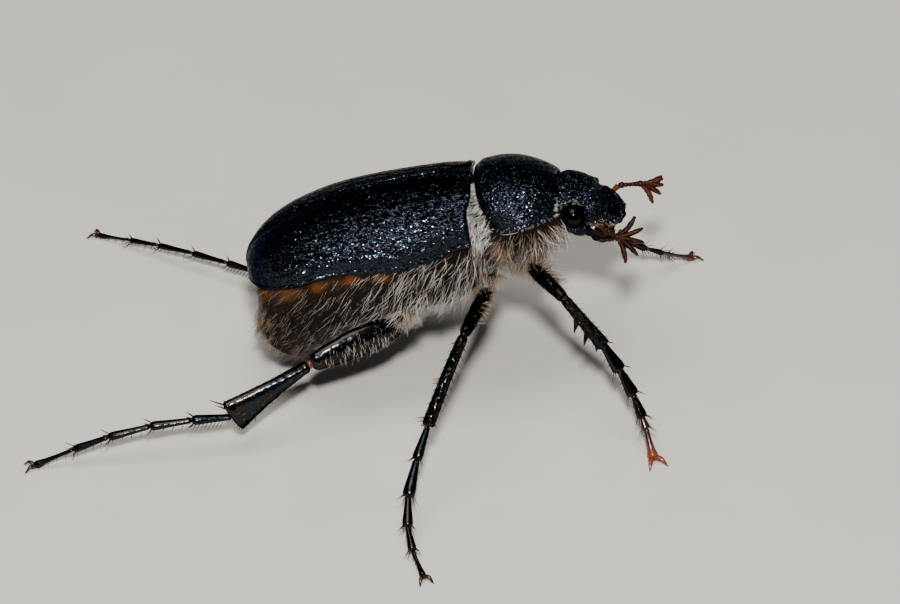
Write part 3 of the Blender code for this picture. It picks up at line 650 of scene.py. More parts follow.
def margin_z(x):
    u = (ELYTRA_FRONT - x) / ELYTRA_LENGTH
    wave = 0.22 * np.cos(2 * math.pi * u / 0.62) * np.maximum(0.0, 1 - u)
    return wave - 0.34 * np.maximum(0.0, u - 0.62) / 0.38


def dome(x, t, inset=0.0):
    """The wing cases' surface: t is 0 at the middle and 90 degrees at the edge, on the left."""
    wide, high = np.maximum(half_width(x) - inset, 0.03), np.maximum(crown(x) - inset, 0.03)
    e = 2 / SQUARENESS
    return stack(x, wide * power(np.sin(t), e), margin_z(x) * np.sin(t) ** 4 + high * power(np.cos(t), e))


def seam_angle(x, offset):
    return np.arcsin(np.minimum(1.0, offset / half_width(x)) ** (SQUARENESS / 2))


def scutellum_edge(x):
    u = (ELYTRA_FRONT - x) / SCUTELLUM_LENGTH
    return SCUTELLUM_HALF_WIDTH * np.maximum(0.0, 1 - u) ** 0.8


def elytron(side):
    """A wing case with faint furrows and ribs, a shoulder bump, a raised seam and a beaded edge."""
    u = (1 - (1 - steps(250)) ** 1.7)[:, None]
    k = steps(116)
    v = (0.62 * k + 0.38 * (0.5 - 0.5 * np.cos(math.pi * k)))[None]
    x = ELYTRA_FRONT - ELYTRA_LENGTH * 0.9985 * u + REACH * (1 - ease(v, 0.25, 0.62)) * (1 - u) ** 12
    first = seam_angle(x, 0.008 + scutellum_edge(x))
    t = first + (math.pi / 2 - first) * v
    grid = dome(x, t)
    fade = ease(u, 0.03, 0.12) * (1 - ease(u, 0.86, 0.97))
    wander = v + 0.012 * np.sin(9 * u + 3 * v)
    furrows = sum(hump(wander, j / (STRIAE + 1) + 0.02, 0.012) for j in range(1, STRIAE + 1))
    ribs = sum(hump(wander, (j + 0.5) / (STRIAE + 1) + 0.02, 0.024) for j in (1, 3, 5, 7))
    seam = (t - first) * half_width(x)
    raised = (
        -0.014 * furrows * fade
        + 0.012 * ribs * fade
        + 0.13 * hump(u, 0.10, 0.075) * hump(v, 0.74, 0.10)
        - 0.07 * hump(u, 0.035, 0.05) * hump(v, 0.55, 0.12)
        + 0.07 * hump(u, 0.86, 0.06) * hump(v, 0.55, 0.13)
        + 0.035 * hump(seam, 0.10, 0.09)
        - 0.035 * hump(seam, 0.26, 0.05) * fade
        - 0.05 * hump(seam, 0.0, 0.03)
        - 0.17 * ease(v, 0.84, 1.0) * ease(u, 0.01, 0.08) * (1 - ease(u, 0.5, 0.8))
        - 0.03 * hump(v, 0.965, 0.012)
        + 0.022 * hump(v, 0.988, 0.010)
        - 0.04 * hump(u, 0.0, 0.008)
        + 0.03 * hump(u, 0.014, 0.008)
        + 0.0030 * ripple(grid, 0.36, 3)
        + 0.0014 * ripple(grid, 0.2, 4)
        - 0.02
    )
    outer = lifted(grid, raised, False)
    inner = dome(x + (0.12 * u), t, PLATE)
    inner[..., 1] = np.maximum(inner[..., 1], outer[:, :1, 1])
    return [placed(surface * (1, side, 1)) for surface in (outer, inner)]


def wing_cases():
    for name, side in SIDES:
        piece("wing_case_" + name, plate_shape(*elytron(side)), ELYTRON, ["elytron_" + name])


def scutellum():
    x = (ELYTRA_FRONT + REACH - (SCUTELLUM_LENGTH * 0.96 + REACH) * steps(40))[:, None]
    s = np.linspace(-1, 1, 33)[None]
    y = np.maximum(scutellum_edge(x) - 0.02, 0.005) * s
    top = dome(x, seam_angle(x, np.abs(y)))[..., 2]
    swell = 0.03 * (1 - s**2) + 0.03 * hump(np.abs(s), 0.93, 0.07) - 0.045
    shape = plate_shape(placed(stack(x, y, top + swell)), placed(stack(x, y, top - 0.3)))
    fine("scutellum", shape, PRONOTUM)


# ---- pronotum and head


def pronotum_hind(y):
    return PRONOTUM_HIND + 0.14 * (y / 2.2) ** 2


def pronotum_point(s, t, inset=0.0):
    """s runs from the hind margin to the front margin, t from -90 to 90 degrees across."""
    wide, high = table(PRONOTUM_SHAPE, s, 1) - inset, table(PRONOTUM_SHAPE, s, 2) - inset
    y = wide * power(np.sin(t), 0.92)
    corner = np.abs(np.sin(t)) ** 12
    hind = pronotum_hind(y) + 0.42 * corner
    front = PRONOTUM_FRONT - 0.12 * (1 - (y / 1.7) ** 2) - 0.22 * corner
    return stack(hind + (front - hind) * s, y, PRONOTUM_RIM + high * power(np.cos(t), 0.92))


def pronotum():
    """The shield with its beaded edges and two shallow pits. Returns its outer surface."""
    s = round_steps(110, 0.25)[:, None]
    a = round_steps(190, 0.2)[None]
    t = np.radians(-90 + 180 * a)
    grid = pronotum_point(s, t)
    flank, end = np.minimum(a, 1 - a) * 8.0, np.minimum(s, 1 - s) * 3.3
    raised = (
        0.035 * hump(flank, 0.06, 0.05)
        - 0.030 * hump(flank, 0.19, 0.06)
        + 0.012 * hump(end, 0.05, 0.04)
        - 0.012 * hump(end, 0.14, 0.05)
        - 0.05 * ease(0.25 - np.minimum(flank, end), 0.0, 0.25) ** 2
        - 0.01
        - 0.05 * hump(s, 0.52, 0.06) * (hump(a, 0.20, 0.03) + hump(a, 0.80, 0.03))
        + 0.004 * ripple(grid, 0.6, 5)
        + 0.0015 * ripple(grid, 0.25, 6)
    )
    outer = placed(lifted(grid, raised, False))
    fine("pronotum", plate_shape(outer, placed(pronotum_point(s, t, PLATE))), PRONOTUM)
    return outer


def head_grid():
    """The head capsule: a clypeus with a turned-up rim, a blade before each eye and a hollow round it."""
    k = steps(190)[:, None]
    x = HEAD_HIND + (HEAD_FRONT - HEAD_HIND) * (0.5 * k + 0.5 * (1 - (1 - k) ** 2.2))
    t = turns(200)[None]
    wide, top, low, bend = (table(HEAD_SHAPE, x, j) for j in (1, 2, 3, 4))
    level = low + (top - low) * 0.42
    c = np.cos(t)
    off = np.degrees(np.arccos(np.clip(c, -1, 1)))
    beak = ease(x, 5.30, 5.62)
    tucked = ease(off, 92, 112) * beak
    y = wide * power(np.sin(t), bend) * (1 - 0.22 * tucked)
    z = level + np.where(c > 0, top - level, level - low) * power(c, bend)
    grid = stack(x - 0.16 * tucked * ease(x, 5.7, 6.2), y, z)
    rim = beak * hump(off, 66, 9) + ease(x, 6.05, 6.2) * (1 - ease(off, 66, 90))
    disc = ease(x, 5.46, 5.62) * (1 - ease(x, 5.95, 6.15)) * (1 - ease(off, 38, 62))
    suture = hump(x - 0.10 * (y / 1.2) ** 2, 5.36, 0.040) * (1 - ease(off, 74, 90))
    raised = (
        0.070 * np.minimum(rim, 1)
        - 0.055 * disc
        - 0.060 * suture
        + 0.035 * hump(x, 5.22, 0.10) * (1 - ease(off, 60, 85))
        - 0.06 * hump(x, 5.42, 0.045) * hump(off, 74, 16)
    )
    blade = hump(z, EYE_AT[2] + 0.10, 0.075) * ease(x, 4.58, 4.76) * (1 - ease(x, 5.25, 5.45))
    for sign in (-1, 1):
        gap = eye_gap(grid, sign)
        raised = raised - 0.06 * hump(gap, EYE_RADIUS + 0.03, 0.05)
        raised = raised + 0.045 * hump(gap, EYE_RADIUS + 0.16, 0.06) + 0.11 * blade * (y * sign > 0.5)
    raised = raised - 0.09 * hump(off, 104, 8) * ease(x, 4.62, 4.85)
    raised = raised + 0.010 * ripple(grid, 0.34, 8) + 0.006 * ripple(grid, 0.17, 9)
    return lifted(grid, raised)


def eye_gap(points, sign):
    """How far points are from an eye's middle."""
    return np.linalg.norm(points - EYE_AT * (1, sign, 1), axis=-1)


def head():
    """The head, closed in front, and both eyes. Returns its surface in its own frame and in the part's."""
    grid = head_grid()
    last, middle = grid[-1], grid[-1].mean(axis=0)
    closing = [middle + (last - middle) * size + np.array((reach, 0, 0))
               for size, reach in ((0.90, 0.025), (0.72, 0.040), (0.40, 0.045))]
    rings = head_placed(np.concatenate((grid, closing)))
    fine("head", tube_shape(rings), HEAD)
    a, b = (math.pi * (np.arange(1, 48) / 48))[:, None], turns(72)[None]
    ball = EYE_RADIUS * stack(np.sin(a) * np.cos(b), np.sin(a) * np.sin(b), np.cos(a))
    for name, sign in SIDES:
        fine("eye_" + name, tube_shape(head_placed(EYE_AT * (1, sign, 1) + ball)), EYE)
    return grid, rings[: len(grid)]


# ---- the skin of the underside


def section(t, top, below):
    """Rings of the trunk from the forms above and below its rim; t is 0 on top."""
    ring = np.where((np.abs(t) > math.pi / 2)[..., None], below, top)
    ring[..., 1] *= np.sign(t)
    return ring


def trunk(x, t):
    """Sections of the hind body: t from -180 to 180 degrees, 0 on top."""
    off = np.abs(t)
    span = ELYTRA_LENGTH * 0.996
    back = ELYTRA_FRONT - (ELYTRA_FRONT - x) * span / (span - 0.42)
    wide = np.maximum(half_width(np.maximum(x, -8.1)) - 0.12 - COAT_DEPTH, 0.3)
    deep = table(BELLY, x) + margin_z(x) - COAT_DEPTH
    below = stack(x, wide * power(np.sin(off), 0.86), margin_z(x) - 0.03 + deep * power(np.cos(off), 0.9))
    ring = section(t, dome(back, np.minimum(off, math.pi / 2), SKIN_UNDER_SHELL), below)
    ring[..., 0] = x - TAIL_SLANT * ease(-x, -THORAX_END, 8.0) * np.minimum(ring[..., 2], 0.0)
    return ring


def front_trunk(s, t):
    """Sections of the prothorax, under the pronotum."""
    off = np.abs(t)
    y = (table(PRONOTUM_SHAPE, s, 1) - 0.1 - COAT_DEPTH / 2) * power(np.sin(off), 0.9)
    hind = pronotum_hind(y)
    x = hind + (PRONOTUM_FRONT - hind) * s
    deep = table(CHEST, x) + PRONOTUM_RIM - COAT_DEPTH
    below = stack(x, y, PRONOTUM_RIM - 0.03 + deep * power(np.cos(off), 0.9))
    return section(t, pronotum_point(s, np.minimum(off, math.pi / 2), SKIN_UNDER_SHELL), below)


def shrunk(rings, size):
    middle = rings.mean(axis=1, keepdims=True)
    return middle + (rings - middle) * size


def skin():
    """One skin from the tail to the neck, with the overlapping plates of the abdomen and soft membranes."""
    cols = 200
    t = np.pi * (-1 + 2 * (np.arange(cols)[None] + 0.5) / cols)
    rear = TAIL_TURN - (TAIL_TURN - TAIL) * np.sin(np.linspace(1, 0, 14)[:, None] * math.pi / 2)
    x = np.concatenate((rear, np.linspace(-8.2, 0.3, 170)[:, None]))
    close = np.sqrt(np.clip(1 - (np.maximum(TAIL_TURN - x, 0) / 0.52) ** 2, 0, 1))
    hind = shrunk(trunk(x, t), close[..., None])
    hind[..., 0] -= TAIL_BULGE * ease(-x, 6.5, 8.2) * hump(hind[..., 2], BULGE_HEIGHT, 1.0)
    fore = front_trunk(np.linspace(0.08, 1.0, 60)[:, None], t)
    f = ease(steps(14)[1:-1, None, None], 0, 1)
    waist = shrunk(hind[-1:] * (1 - f) + fore[:1] * f, 1 - 0.10 * np.sin(math.pi * f))
    grid = np.concatenate((hind, waist, fore))
    lower = ease(np.abs(t), math.radians(88), math.radians(104))
    step = np.zeros(len(grid))[:, None]
    station = np.concatenate((x[:, 0], np.full(len(grid) - len(x), 9.0)))[:, None]
    for front, back in zip(STERNITES, STERNITES[1:]):
        share = (front - station) / (front - back)
        inside = (share > 0) & (share <= 1)
        share = np.clip(share, 0, 1)
        step = step + inside * (0.10 * share**1.5 * (1 - ease(share, 0.93, 1.0)) - 0.03)
    body = lifted(grid, step * lower + 0.02 * ripple(grid, 1.3, 12) * lower + 0.01 * ripple(grid, 0.4, 13))
    off = np.degrees(np.abs(t))
    patches = sum(hump(station, middle, 0.42) for middle in (-3.1, -4.45, -5.85, -7.15))
    tone = 0.05 + 0.42 * hump(off, 94, 6) * (0.50 + 0.42 * np.minimum(patches, 1)) * ease(-station, 2.2, 3.2)
    tone = tone + 0.62 * hump(body[..., 0], 1.35, 0.40) * hump(off, 124, 20)
    tone = tone + 0.10 * hump(body[..., 0], -8.2, 0.5) * (body[..., 2] < 0)
    rings = placed(body)
    flesh = ["thorax", "abdomen", "pygidium", "prothorax"]
    tone = np.concatenate((tone.ravel(), (0.2, 0.2)))
    piece("skin_underside", tube_shape(rings), SKIN, flesh, tone=tone)
    return body, rings


def coxa(kind, sign):
    """A rounded hip cone, bedded in the skin; sign is 1 on the left."""
    hip = np.array(HIPS[kind]) * (1, -sign, 1)
    half_x, half_y, y_at, x_from = COXAE[kind]
    t = turns(40)
    x, y = hip[0] + x_from + half_x * np.cos(t), sign * y_at + half_y * np.sin(t)
    if kind == "front":
        wide = table(PRONOTUM_SHAPE, (x - PRONOTUM_HIND) / (PRONOTUM_FRONT - PRONOTUM_HIND), 1) - 0.1
        level, deep, bend = PRONOTUM_RIM, table(CHEST, x) + PRONOTUM_RIM, 0.9
    else:
        wide = half_width(x) - 0.12
        level, deep, bend = margin_z(x), table(BELLY, x) + margin_z(x), 0.86
    share = np.minimum(0.98, np.abs(y) / wide) ** (1 / bend)
    base = stack(x, y, level + 0.25 - deep * np.sqrt(1 - share**2) ** 0.9)
    middle = base.mean(axis=0)
    end = hip - unit(hip - middle) * 0.04
    s = steps(26)[:, None, None]
    size = 0.96 * np.sqrt(np.clip(1 - (s * 0.96) ** 2.2, 0, 1)) + 0.04
    return placed(middle + (end - middle) * s + (base - middle) * size)


# ---- legs


def femur(kind, hip, knee, ankle):
    """The thigh's rings, and the way its breadth lies."""
    wide, thick = LIMBS[kind][:2]
    normal = (0, 1 if ankle[1] > 0 else -1, 0.2) if kind == "hind" else np.cross(knee - hip, ankle - knee)
    axis = unit(knee - hip)
    edge = unit(np.cross(axis, normal))
    s = round_steps(56)
    shape = ((0.0, 0.52, 0.62), (0.08, 0.72, 0.82), (0.25, 0.95, 0.98), (0.45, 1.0, 1.0), (0.7, 0.86, 0.92),
             (0.9, 0.66, 0.82), (1.0, 0.58, 0.78))
    breadth = wide * table(shape, s, 1) * capped(s, 0.07)
    depth = thick * table(shape, s, 2) * capped(s, 0.07)
    path = lerp(hip + axis * 0.02, knee - axis * 0.02, s) + 0.05 * np.sin(math.pi * s)[:, None] * edge
    rings = swept(path, depth, breadth, edge, 40)
    return lifted(rings, 0.006 * ripple(rings, 0.45, 20)), edge


def shin_half(kind, s):
    near, far = LIMBS[kind][2:4]
    return (near + (far - near) * s**1.5) / 2


def tibia(kind, knee, ankle, along, outer, normal):
    s = round_steps(70, 0.12)
    bow = 0.0072 * np.linalg.norm(ankle - knee) * np.sin(math.pi * s)
    ends = capped(s * 0.985, 0.05)
    thick, widening = SHIN_THICKNESS[kind]
    path = lerp(knee + along * 0.03, ankle, s) + bow[:, None] * normal
    rings = swept(path, (thick + widening * s) * ends, 2 * shin_half(kind, s) * ends, outer, 36)
    return lifted(rings, 0.006 * ripple(rings, 0.35, 21))


def front_shin_spines(spines, on_shin, along, outer):
    """The spur and bristles of a front shin. Returns the shapes of its teeth."""
    k = steps(12)
    size = 0.34 * (1 - k**1.3) + 0.03
    teeth = []
    for s, reach in ((0.38, 0.54), (0.64, 0.56), (0.90, 0.30)):
        base = on_shin(s, 0.45)
        path = lerp(base - outer * 0.1, base + unit(outer * 0.9 + along * 0.45) * reach, k)
        teeth.append(tube_shape(swept(path + along * 0.10 * (k**2)[:, None], size * 0.75, size, along, 16)))
    spines.add(on_shin(0.97, -0.5), along * 0.9 - outer * 0.5, 0.5, 0.09, 0.8)
    for s in np.linspace(0.2, 0.92, 8):
        spines.add(on_shin(s, -0.95), along * 0.8 - outer * 0.8, 0.20, 0.035, 0.7)
        spines.add(on_shin(s + 0.03, 0.9), along * 0.6 + outer * 0.7, 0.22, 0.035, 0.7)
    return teeth


def shin_spines(spines, on_shin, along, outer, normal, kind, sign):
    """The spurs, rings of spines and rows of bristles of a middle or hind shin."""
    for across, reach in {"mid": ((0.45, 0.66), (0.15, 0.54)), "hind": ((0.78, 0.84), (0.42, 0.76))}[kind]:
        spines.add(on_shin(0.97, across), along * 0.45 + outer * 0.75 + normal * 0.1, reach, 0.085, 0.62)
    edge, edge_at, across, bulge = outer, 0.0, 0.95, 0.16 * sign
    if kind == "mid":
        edge, edge_at, across, bulge = normal * (-1 if normal[0] > 0 else 1), 0.19, 0.3, -bulge
        for s, reach in ((0.50, 0.40), (0.55, 0.32), (0.92, 0.50), (0.96, 0.36)):
            spines.add(on_shin(s, 0.2) + edge * edge_at, along * 0.5 + edge * 0.9, reach, 0.055, 0.85)
    for ring, count in ((0.36, 4), (0.66, 5), (0.97, 9)):
        for turn in np.linspace(-1.0, 1.0, count):
            out = bulge * math.cos(turn * math.pi / 2)
            way = along * 0.8 + outer * turn * 0.8 + normal * out * 3
            spines.add(on_shin(ring, turn * 0.9, out * 0.9), way, 0.26, 0.055, 0.5)
    for s in np.linspace(0.12, 0.93, 11):
        wobble = RANDOM.uniform(0.8, 1.3)
        for turn, back in ((1, 0.0), (-1, 0.02)):
            root = on_shin(s + back, across * turn) + edge * edge_at * turn
            way = along * 0.6 + edge * 0.8 * turn + normal * RANDOM.normal(0, 0.25)
            spines.add(root, way, 0.25 * wobble, 0.040, 0.58)


def foot_joints(kind, ankle, foot, sag, swing):
    """The foot's joints, from the ankle to the claws, arched a little off the straight line."""
    ends = np.cumsum((0.0, *LIMBS[kind][4]))
    s = ends / ends[-1]
    level = unit((foot - ankle) * (1, 1, 0))
    arch = np.sin(math.pi * s)[:, None]
    joints = lerp(ankle, foot, s) - (UP * sag + np.array((-level[1], level[0], 0)) * swing) * arch
    joints[:, 2] = np.maximum(joints[:, 2], FOOT_RADIUS - CENTRE[2])
    return joints


def foot_segments(kind, joints, slimness, spines):
    """The shapes of the foot's five segments; their bristles go to spines."""
    shapes = []
    sizes, near_share = TARSOMERES[kind]
    k = round_steps(22, 0.2)
    for i, (a, b) in enumerate(zip(joints, joints[1:])):
        last = i == len(sizes) - 1
        way = unit(b - a)
        size = sizes[i] * slimness
        rows = ((0.0, near_share), (0.15, near_share), (0.55, 0.84), (0.86, 1.0), (1.0, 0.84))
        if last:
            rows = ((0.0, 0.52), (0.35, 0.52), (0.7, 0.70), (0.92, 1.0), (1.0, 0.9))
        profile = size * table(rows, k) * capped(k, 0.08)
        path = lerp(a - way * 0.02, b + way * (0.0 if last else 0.03), k)
        shapes.append(tube_shape(swept(path, profile, profile * (1.0 if last else 0.85), UP, 20)))
        sideways = unit(np.cross(way, UP))
        low = unit(np.cross(sideways, way))
        for turn in () if last else np.linspace(-2.6, 2.6, 9):
            out = sideways * math.sin(turn) - low * math.cos(turn)
            reach = RANDOM.uniform(0.24, 0.48)
            spines.add(b - way * 0.05 + out * size * 0.40, way * 0.8 + out * 0.7, reach, 0.040, 0.48)
        count, reach = {"front": (4, 0.16), "mid": (5, 0.24), "hind": (4, 0.20)}[kind]
        if kind == "hind" and i == 0:
            count, reach = 8, 0.36
        for s in np.linspace(0.22, 0.9, count):
            for turn in (-1, 1):
                root = lerp(a, b, s) - low * size * 0.36 + sideways * turn * size * 0.16
                way_out = way * 0.55 - low * 0.8 + sideways * turn * 0.35
                spines.add(root, way_out, reach * (0.6 if last else 1), 0.036, 0.5)
    return shapes


def claw_shapes(end, ahead, grip, spines):
    """Two toothed claws that reach down to the floor, with a bristle beside each."""
    shapes = []
    across = np.array((-ahead[1], ahead[0], 0))
    k = steps(16)
    size = 0.30 * grip * (1 - k**1.6) + 0.03
    thin = 0.07 * (1 - np.linspace(0, 0.8, 8))
    rise = 0.10 * np.sin(math.pi * np.minimum(k * 1.2, 1)) - (end[2] + CENTRE[2] - 0.05) * k**1.5
    for turn in (-1, 1):
        apart = turn * (0.05 + grip * 0.6 * k**0.8)
        path = end + ahead * (grip * k)[:, None] + across * apart[:, None] + UP * rise[:, None]
        shapes.append(tube_shape(swept(path, size, size * 1.25, across, 12)))
        tooth = lerp(path[7], path[7] + ahead * 0.10 - UP * 0.09, steps(8))
        shapes.append(tube_shape(swept(tooth, thin, thin, across, 8)))
        spines.add(end + ahead * 0.02, ahead + across * turn * 0.25 + UP * 0.1, 0.26, 0.035, 0.8)
    return shapes


def leg(name):
    """One leg: coxa, femur, shin, foot, its spines, spurs and claws. Returns what its hairs need."""
    kind, side = name.split("_")
    sign = 1 if side == "left" else -1
    knee, ankle, foot, (sag, swing, slimness), (grip, tint) = LEGS[name]
    knee, ankle, foot = (np.array(point) - CENTRE for point in (knee, ankle, (*foot, FOOT_RADIUS)))
    hip = placed(np.array(HIPS[kind]) * (1, -sign, 1))
    lump = coxa(kind, sign)
    fine("coxa_" + name, tube_shape(lump), SKIN, 0.42 if kind == "front" else 0.25)

    thigh, edge = femur(kind, hip, knee, ankle)
    axis, breadth = unit(knee - hip), LIMBS[kind][0]
    wide, high = 0.5 * breadth, 0.6 * breadth
    trochanter = barrel(hip - axis * 0.22, hip + axis * 0.16, wide, high, 0.02, edge, 28, steps(16))
    sheen = SMOOTH if kind == "hind" else LIMB
    fine("femur_" + name, joined([tube_shape(thigh), trochanter]), sheen)

    along = unit(ankle - knee)
    outer = {"front": np.array((-0.30, 0.5 * sign, -0.8)), "mid": knee - hip, "hind": UP}[kind]
    outer = unit(outer - along * (outer @ along))
    normal = np.cross(along, outer)
    length = np.linalg.norm(ankle - knee)
    spines = Spines()

    def on_shin(s, across, out=0.0):
        return knee + along * length * s + outer * shin_half(kind, s) * across + normal * out

    shin = tibia(kind, knee, ankle, along, outer, normal)
    knee_ball = barrel(knee - along * 0.16, knee + along * 0.14, 0.34, 0.38, 0.01, outer, 24, steps(14))
    shapes = [tube_shape(shin)] + ([] if kind == "hind" else [knee_ball])
    if kind == "front":
        shapes += front_shin_spines(spines, on_shin, along, outer)
    else:
        shin_spines(spines, on_shin, along, outer, normal, kind, sign)
    fine("tibia_" + name, joined(shapes), sheen)

    joints = foot_joints(kind, ankle, foot, sag, swing)
    segments = foot_segments(kind, joints, slimness, spines)
    black = 3 if kind == "front" else len(segments)
    fine("tarsus_" + name, joined(segments[:black]), SMOOTH)

    end, ahead = joints[-1], unit((joints[-1] - joints[-2]) * (1, 1, 0))
    red = claw_shapes(end, ahead, grip, spines) + ([knee_ball] if kind == "hind" else []) + segments[black:]
    points, faces = joined(red)
    spine_shape, tone = spines.shape()
    far = ease(np.linalg.norm(points - end, axis=-1), 0.15, 0.9) * (points @ ahead < end @ ahead)
    at_knee = np.linalg.norm(points - knee, axis=-1) < 0.6
    tone = np.concatenate((tone, np.where(at_knee, 0.66, tint - 0.68 * tint * far)))
    shape = joined([spine_shape, (points, turned_out(points, faces))])
    piece("spines_" + name, shape, SPINE, tone=tone)
    return {"kind": kind, "sign": sign, "coxa": lump, "femur": thigh, "tibia": shin, "thigh": knee - hip,
            "shin": ankle - knee}


# ---- mouthparts and antennae


def jointed(points, sizes, sides):
    """A chain of small segments along the points, swollen in the middle and narrow at each joint."""
    shapes = []
    k = round_steps(9, 0.2)
    for a, b, size in zip(points, points[1:], sizes):
        way = unit(b - a)
        wide = size * (0.55 + 0.45 * np.sin(math.pi * k**1.25) ** 0.8) * capped(k, 0.12)
        shapes.append(tube_shape(swept(lerp(a - way * 0.03, b + way * 0.03, k), wide, wide, UP, sides)))
    return shapes


# x, half width, top and bottom of the lower lip
LIP = ((4.70, 0.48, -1.04, -1.18), (4.95, 0.78, -1.00, -1.34), (5.30, 0.86, -0.90, -1.36),
       (5.58, 0.76, -0.82, -1.24), (5.84, 0.44, -0.74, -0.96))
# share along a lobe, x, y and z there
JAW = ((0.0, 4.72, 1.00, -0.40), (0.28, 4.98, 1.14, -0.50), (0.55, 5.30, 1.12, -0.64),
       (0.82, 5.56, 0.92, -0.84), (1.0, 5.74, 0.62, -0.94))
MAXILLA = ((0.0, 5.02, 0.86, -1.02), (0.28, 5.22, 0.98, -1.08), (0.55, 5.42, 0.96, -1.10),
           (0.82, 5.60, 0.86, -1.04), (1.0, 5.70, 0.70, -0.98))
LABRUM = ((0.0, 5.58, 0.42, -0.74), (0.28, 5.76, 0.40, -0.76), (0.55, 5.88, 0.34, -0.78),
          (0.82, 5.98, 0.24, -0.80), (1.0, 6.04, 0.10, -0.80))
PALP = ((5.44, 1.06, -1.10), (5.58, 1.12, -1.08), (5.76, 1.12, -1.01), (5.93, 1.06, -0.92),
        (6.08, 0.98, -0.83))


def lobes(rows, broad, high):
    """A rounded lobe on each side."""
    k = round_steps(40, 0.15)
    x, y, z = (table(rows, k, column) for column in (1, 2, 3))
    size = capped(k, 0.22) * (1 - 0.35 * k)
    pair = [swept(stack(x, sign * y, z), broad * size * 0.7, high * size, UP, 28) for sign in (-1, 1)]
    return [tube_shape(lifted(lobe, 0.014 * ripple(lobe, 0.22, 33))) for lobe in pair]


def mouth():
    """Lower lip, jaws that bulge below the clypeus, upper lip, and the two jointed palps."""
    share = steps(60)[:, None]
    x = 4.66 + 1.20 * share
    t = turns(72)[None]
    wide, top, low = (table(LIP, x, j) for j in (1, 2, 3))
    end = capped(share, 0.16)
    mid, half = (top + low) / 2, (top - low) / 2
    grid = stack(x, wide * end * power(np.cos(t), 0.85), mid + half * end * power(np.sin(t), 0.85))
    y = np.abs(grid[..., 1])
    raised = -0.07 * hump(y, 0, 0.06) * (np.sin(t) < 0) - 0.05 * hump(x, 5.20, 0.05)
    raised = raised - 0.05 * hump(y, 0.42, 0.05) + 0.015 * ripple(grid, 0.3, 31)
    lip = tube_shape(lifted(grid, raised))
    points, faces = joined(lobes(JAW, 0.70, 0.66) + [lip])
    piece("jaws_fine", (head_placed(points), faces), LIMB)
    points, faces = joined(lobes(MAXILLA, 0.34, 0.30) + lobes(LABRUM, 0.50, 0.16))
    tone = 0.10 + 0.85 * ease(points[:, 0] - 0.35 * points[:, 2], 5.70, 6.00)
    fine("mouthparts", (head_placed(points), faces), FEELER, tone)
    for name, sign in SIDES:
        palp = jointed(head_placed(np.array(PALP) * (1, sign, 1)), (0.15, 0.19, 0.20, 0.22), 16)
        fine("palp_" + name, joined(palp), FEELER, 0.40)


def antenna(side):
    """A long first segment, small beads, and a club of curved blades that open like a fan."""
    left = side == "left"
    base, bend, hub, first, last, reach = ANTENNAE[side]
    base, bend, hub = (placed(np.array(p)) for p in (base, bend, hub))
    k = steps(26)
    size = (0.16 + 0.12 * k**2) * capped(k, 0.12)
    scape = lerp(base, bend, k) - UP * (0.03 * np.sin(math.pi * k))[:, None]
    shapes = [tube_shape(swept(scape, size, size, UP, 20))]
    beads = lerp(bend, hub, (0.0, 0.24, 0.42, 0.58, 0.74, 0.9))
    shapes += jointed(beads, (0.26, 0.19, 0.18, 0.19, 0.22), 18)
    points, faces = joined(shapes)
    tone = np.full(len(points), 0.12)
    # The left first segment is toned lighter than the right one: painted light and shade on two copies of one
    # part.
    tone[: len(shapes[0][0])] = 0.62 if left else 0.35
    fine("antenna_" + side, (points, faces), FEELER, tone)

    forward, up = turned((0.978, 0.057, -0.2)), turned((0.164, 0.379, 0.911))
    thick_way = unit(np.cross(forward, up))
    shapes, tones = [], []
    k = round_steps(34, 0.16)
    leaf = table(((0.0, 0.40), (0.25, 0.74), (0.55, 1.0), (0.80, 0.80), (1.0, 0.16)), k)
    spread = steps(BLADES) ** (1.7 if left else 1.0)
    for i, angle in enumerate(np.radians(first + (last - first) * spread)):
        along = forward * math.cos(angle) + up * math.sin(angle)
        across = unit(up * math.cos(angle) - forward * math.sin(angle))
        lean = (i / (BLADES - 1) - 0.5) * 2
        bow = across * (0.10 * lean * np.sin(math.pi * k * 0.9))[:, None]
        wave = thick_way * (0.03 * np.sin(2.4 * math.pi * k + i))[:, None]
        wide = (0.20 if left and i == BLADES - 1 else 0.38) * leaf * capped(k, 0.03)
        flat = 0.215 * (0.35 + 0.65 * leaf) * capped(k, 0.05)
        rings = swept(hub + along * (reach * 0.985 * k)[:, None] + bow + wave, wide, flat, across, 28)
        shapes.append(tube_shape(lifted(rings, 0.010 * ripple(rings, 0.20, 40 + i))))
        # The left club's blades are toned lighter than the right club's: painted light and shade on two
        # copies of one part; the change from blade to blade is their own tone.
        tones.append((0.28 if left else 0.08) + 0.10 * ((i * 2) % 3))
    middle = forward * 0.15
    shapes.append(barrel(hub - middle, hub + middle, 0.24, 0.26, 0.0, up, 20, round_steps(16, 0.3)))
    tone = np.repeat((*tones, 0.10), [len(points) for points, _ in shapes])
    fine("antenna_club_" + side, joined(shapes), FEELER, tone)


# ---- hairs


def varied(middle, spread, count):
    return middle + spread * RANDOM.normal(0, 1, count)


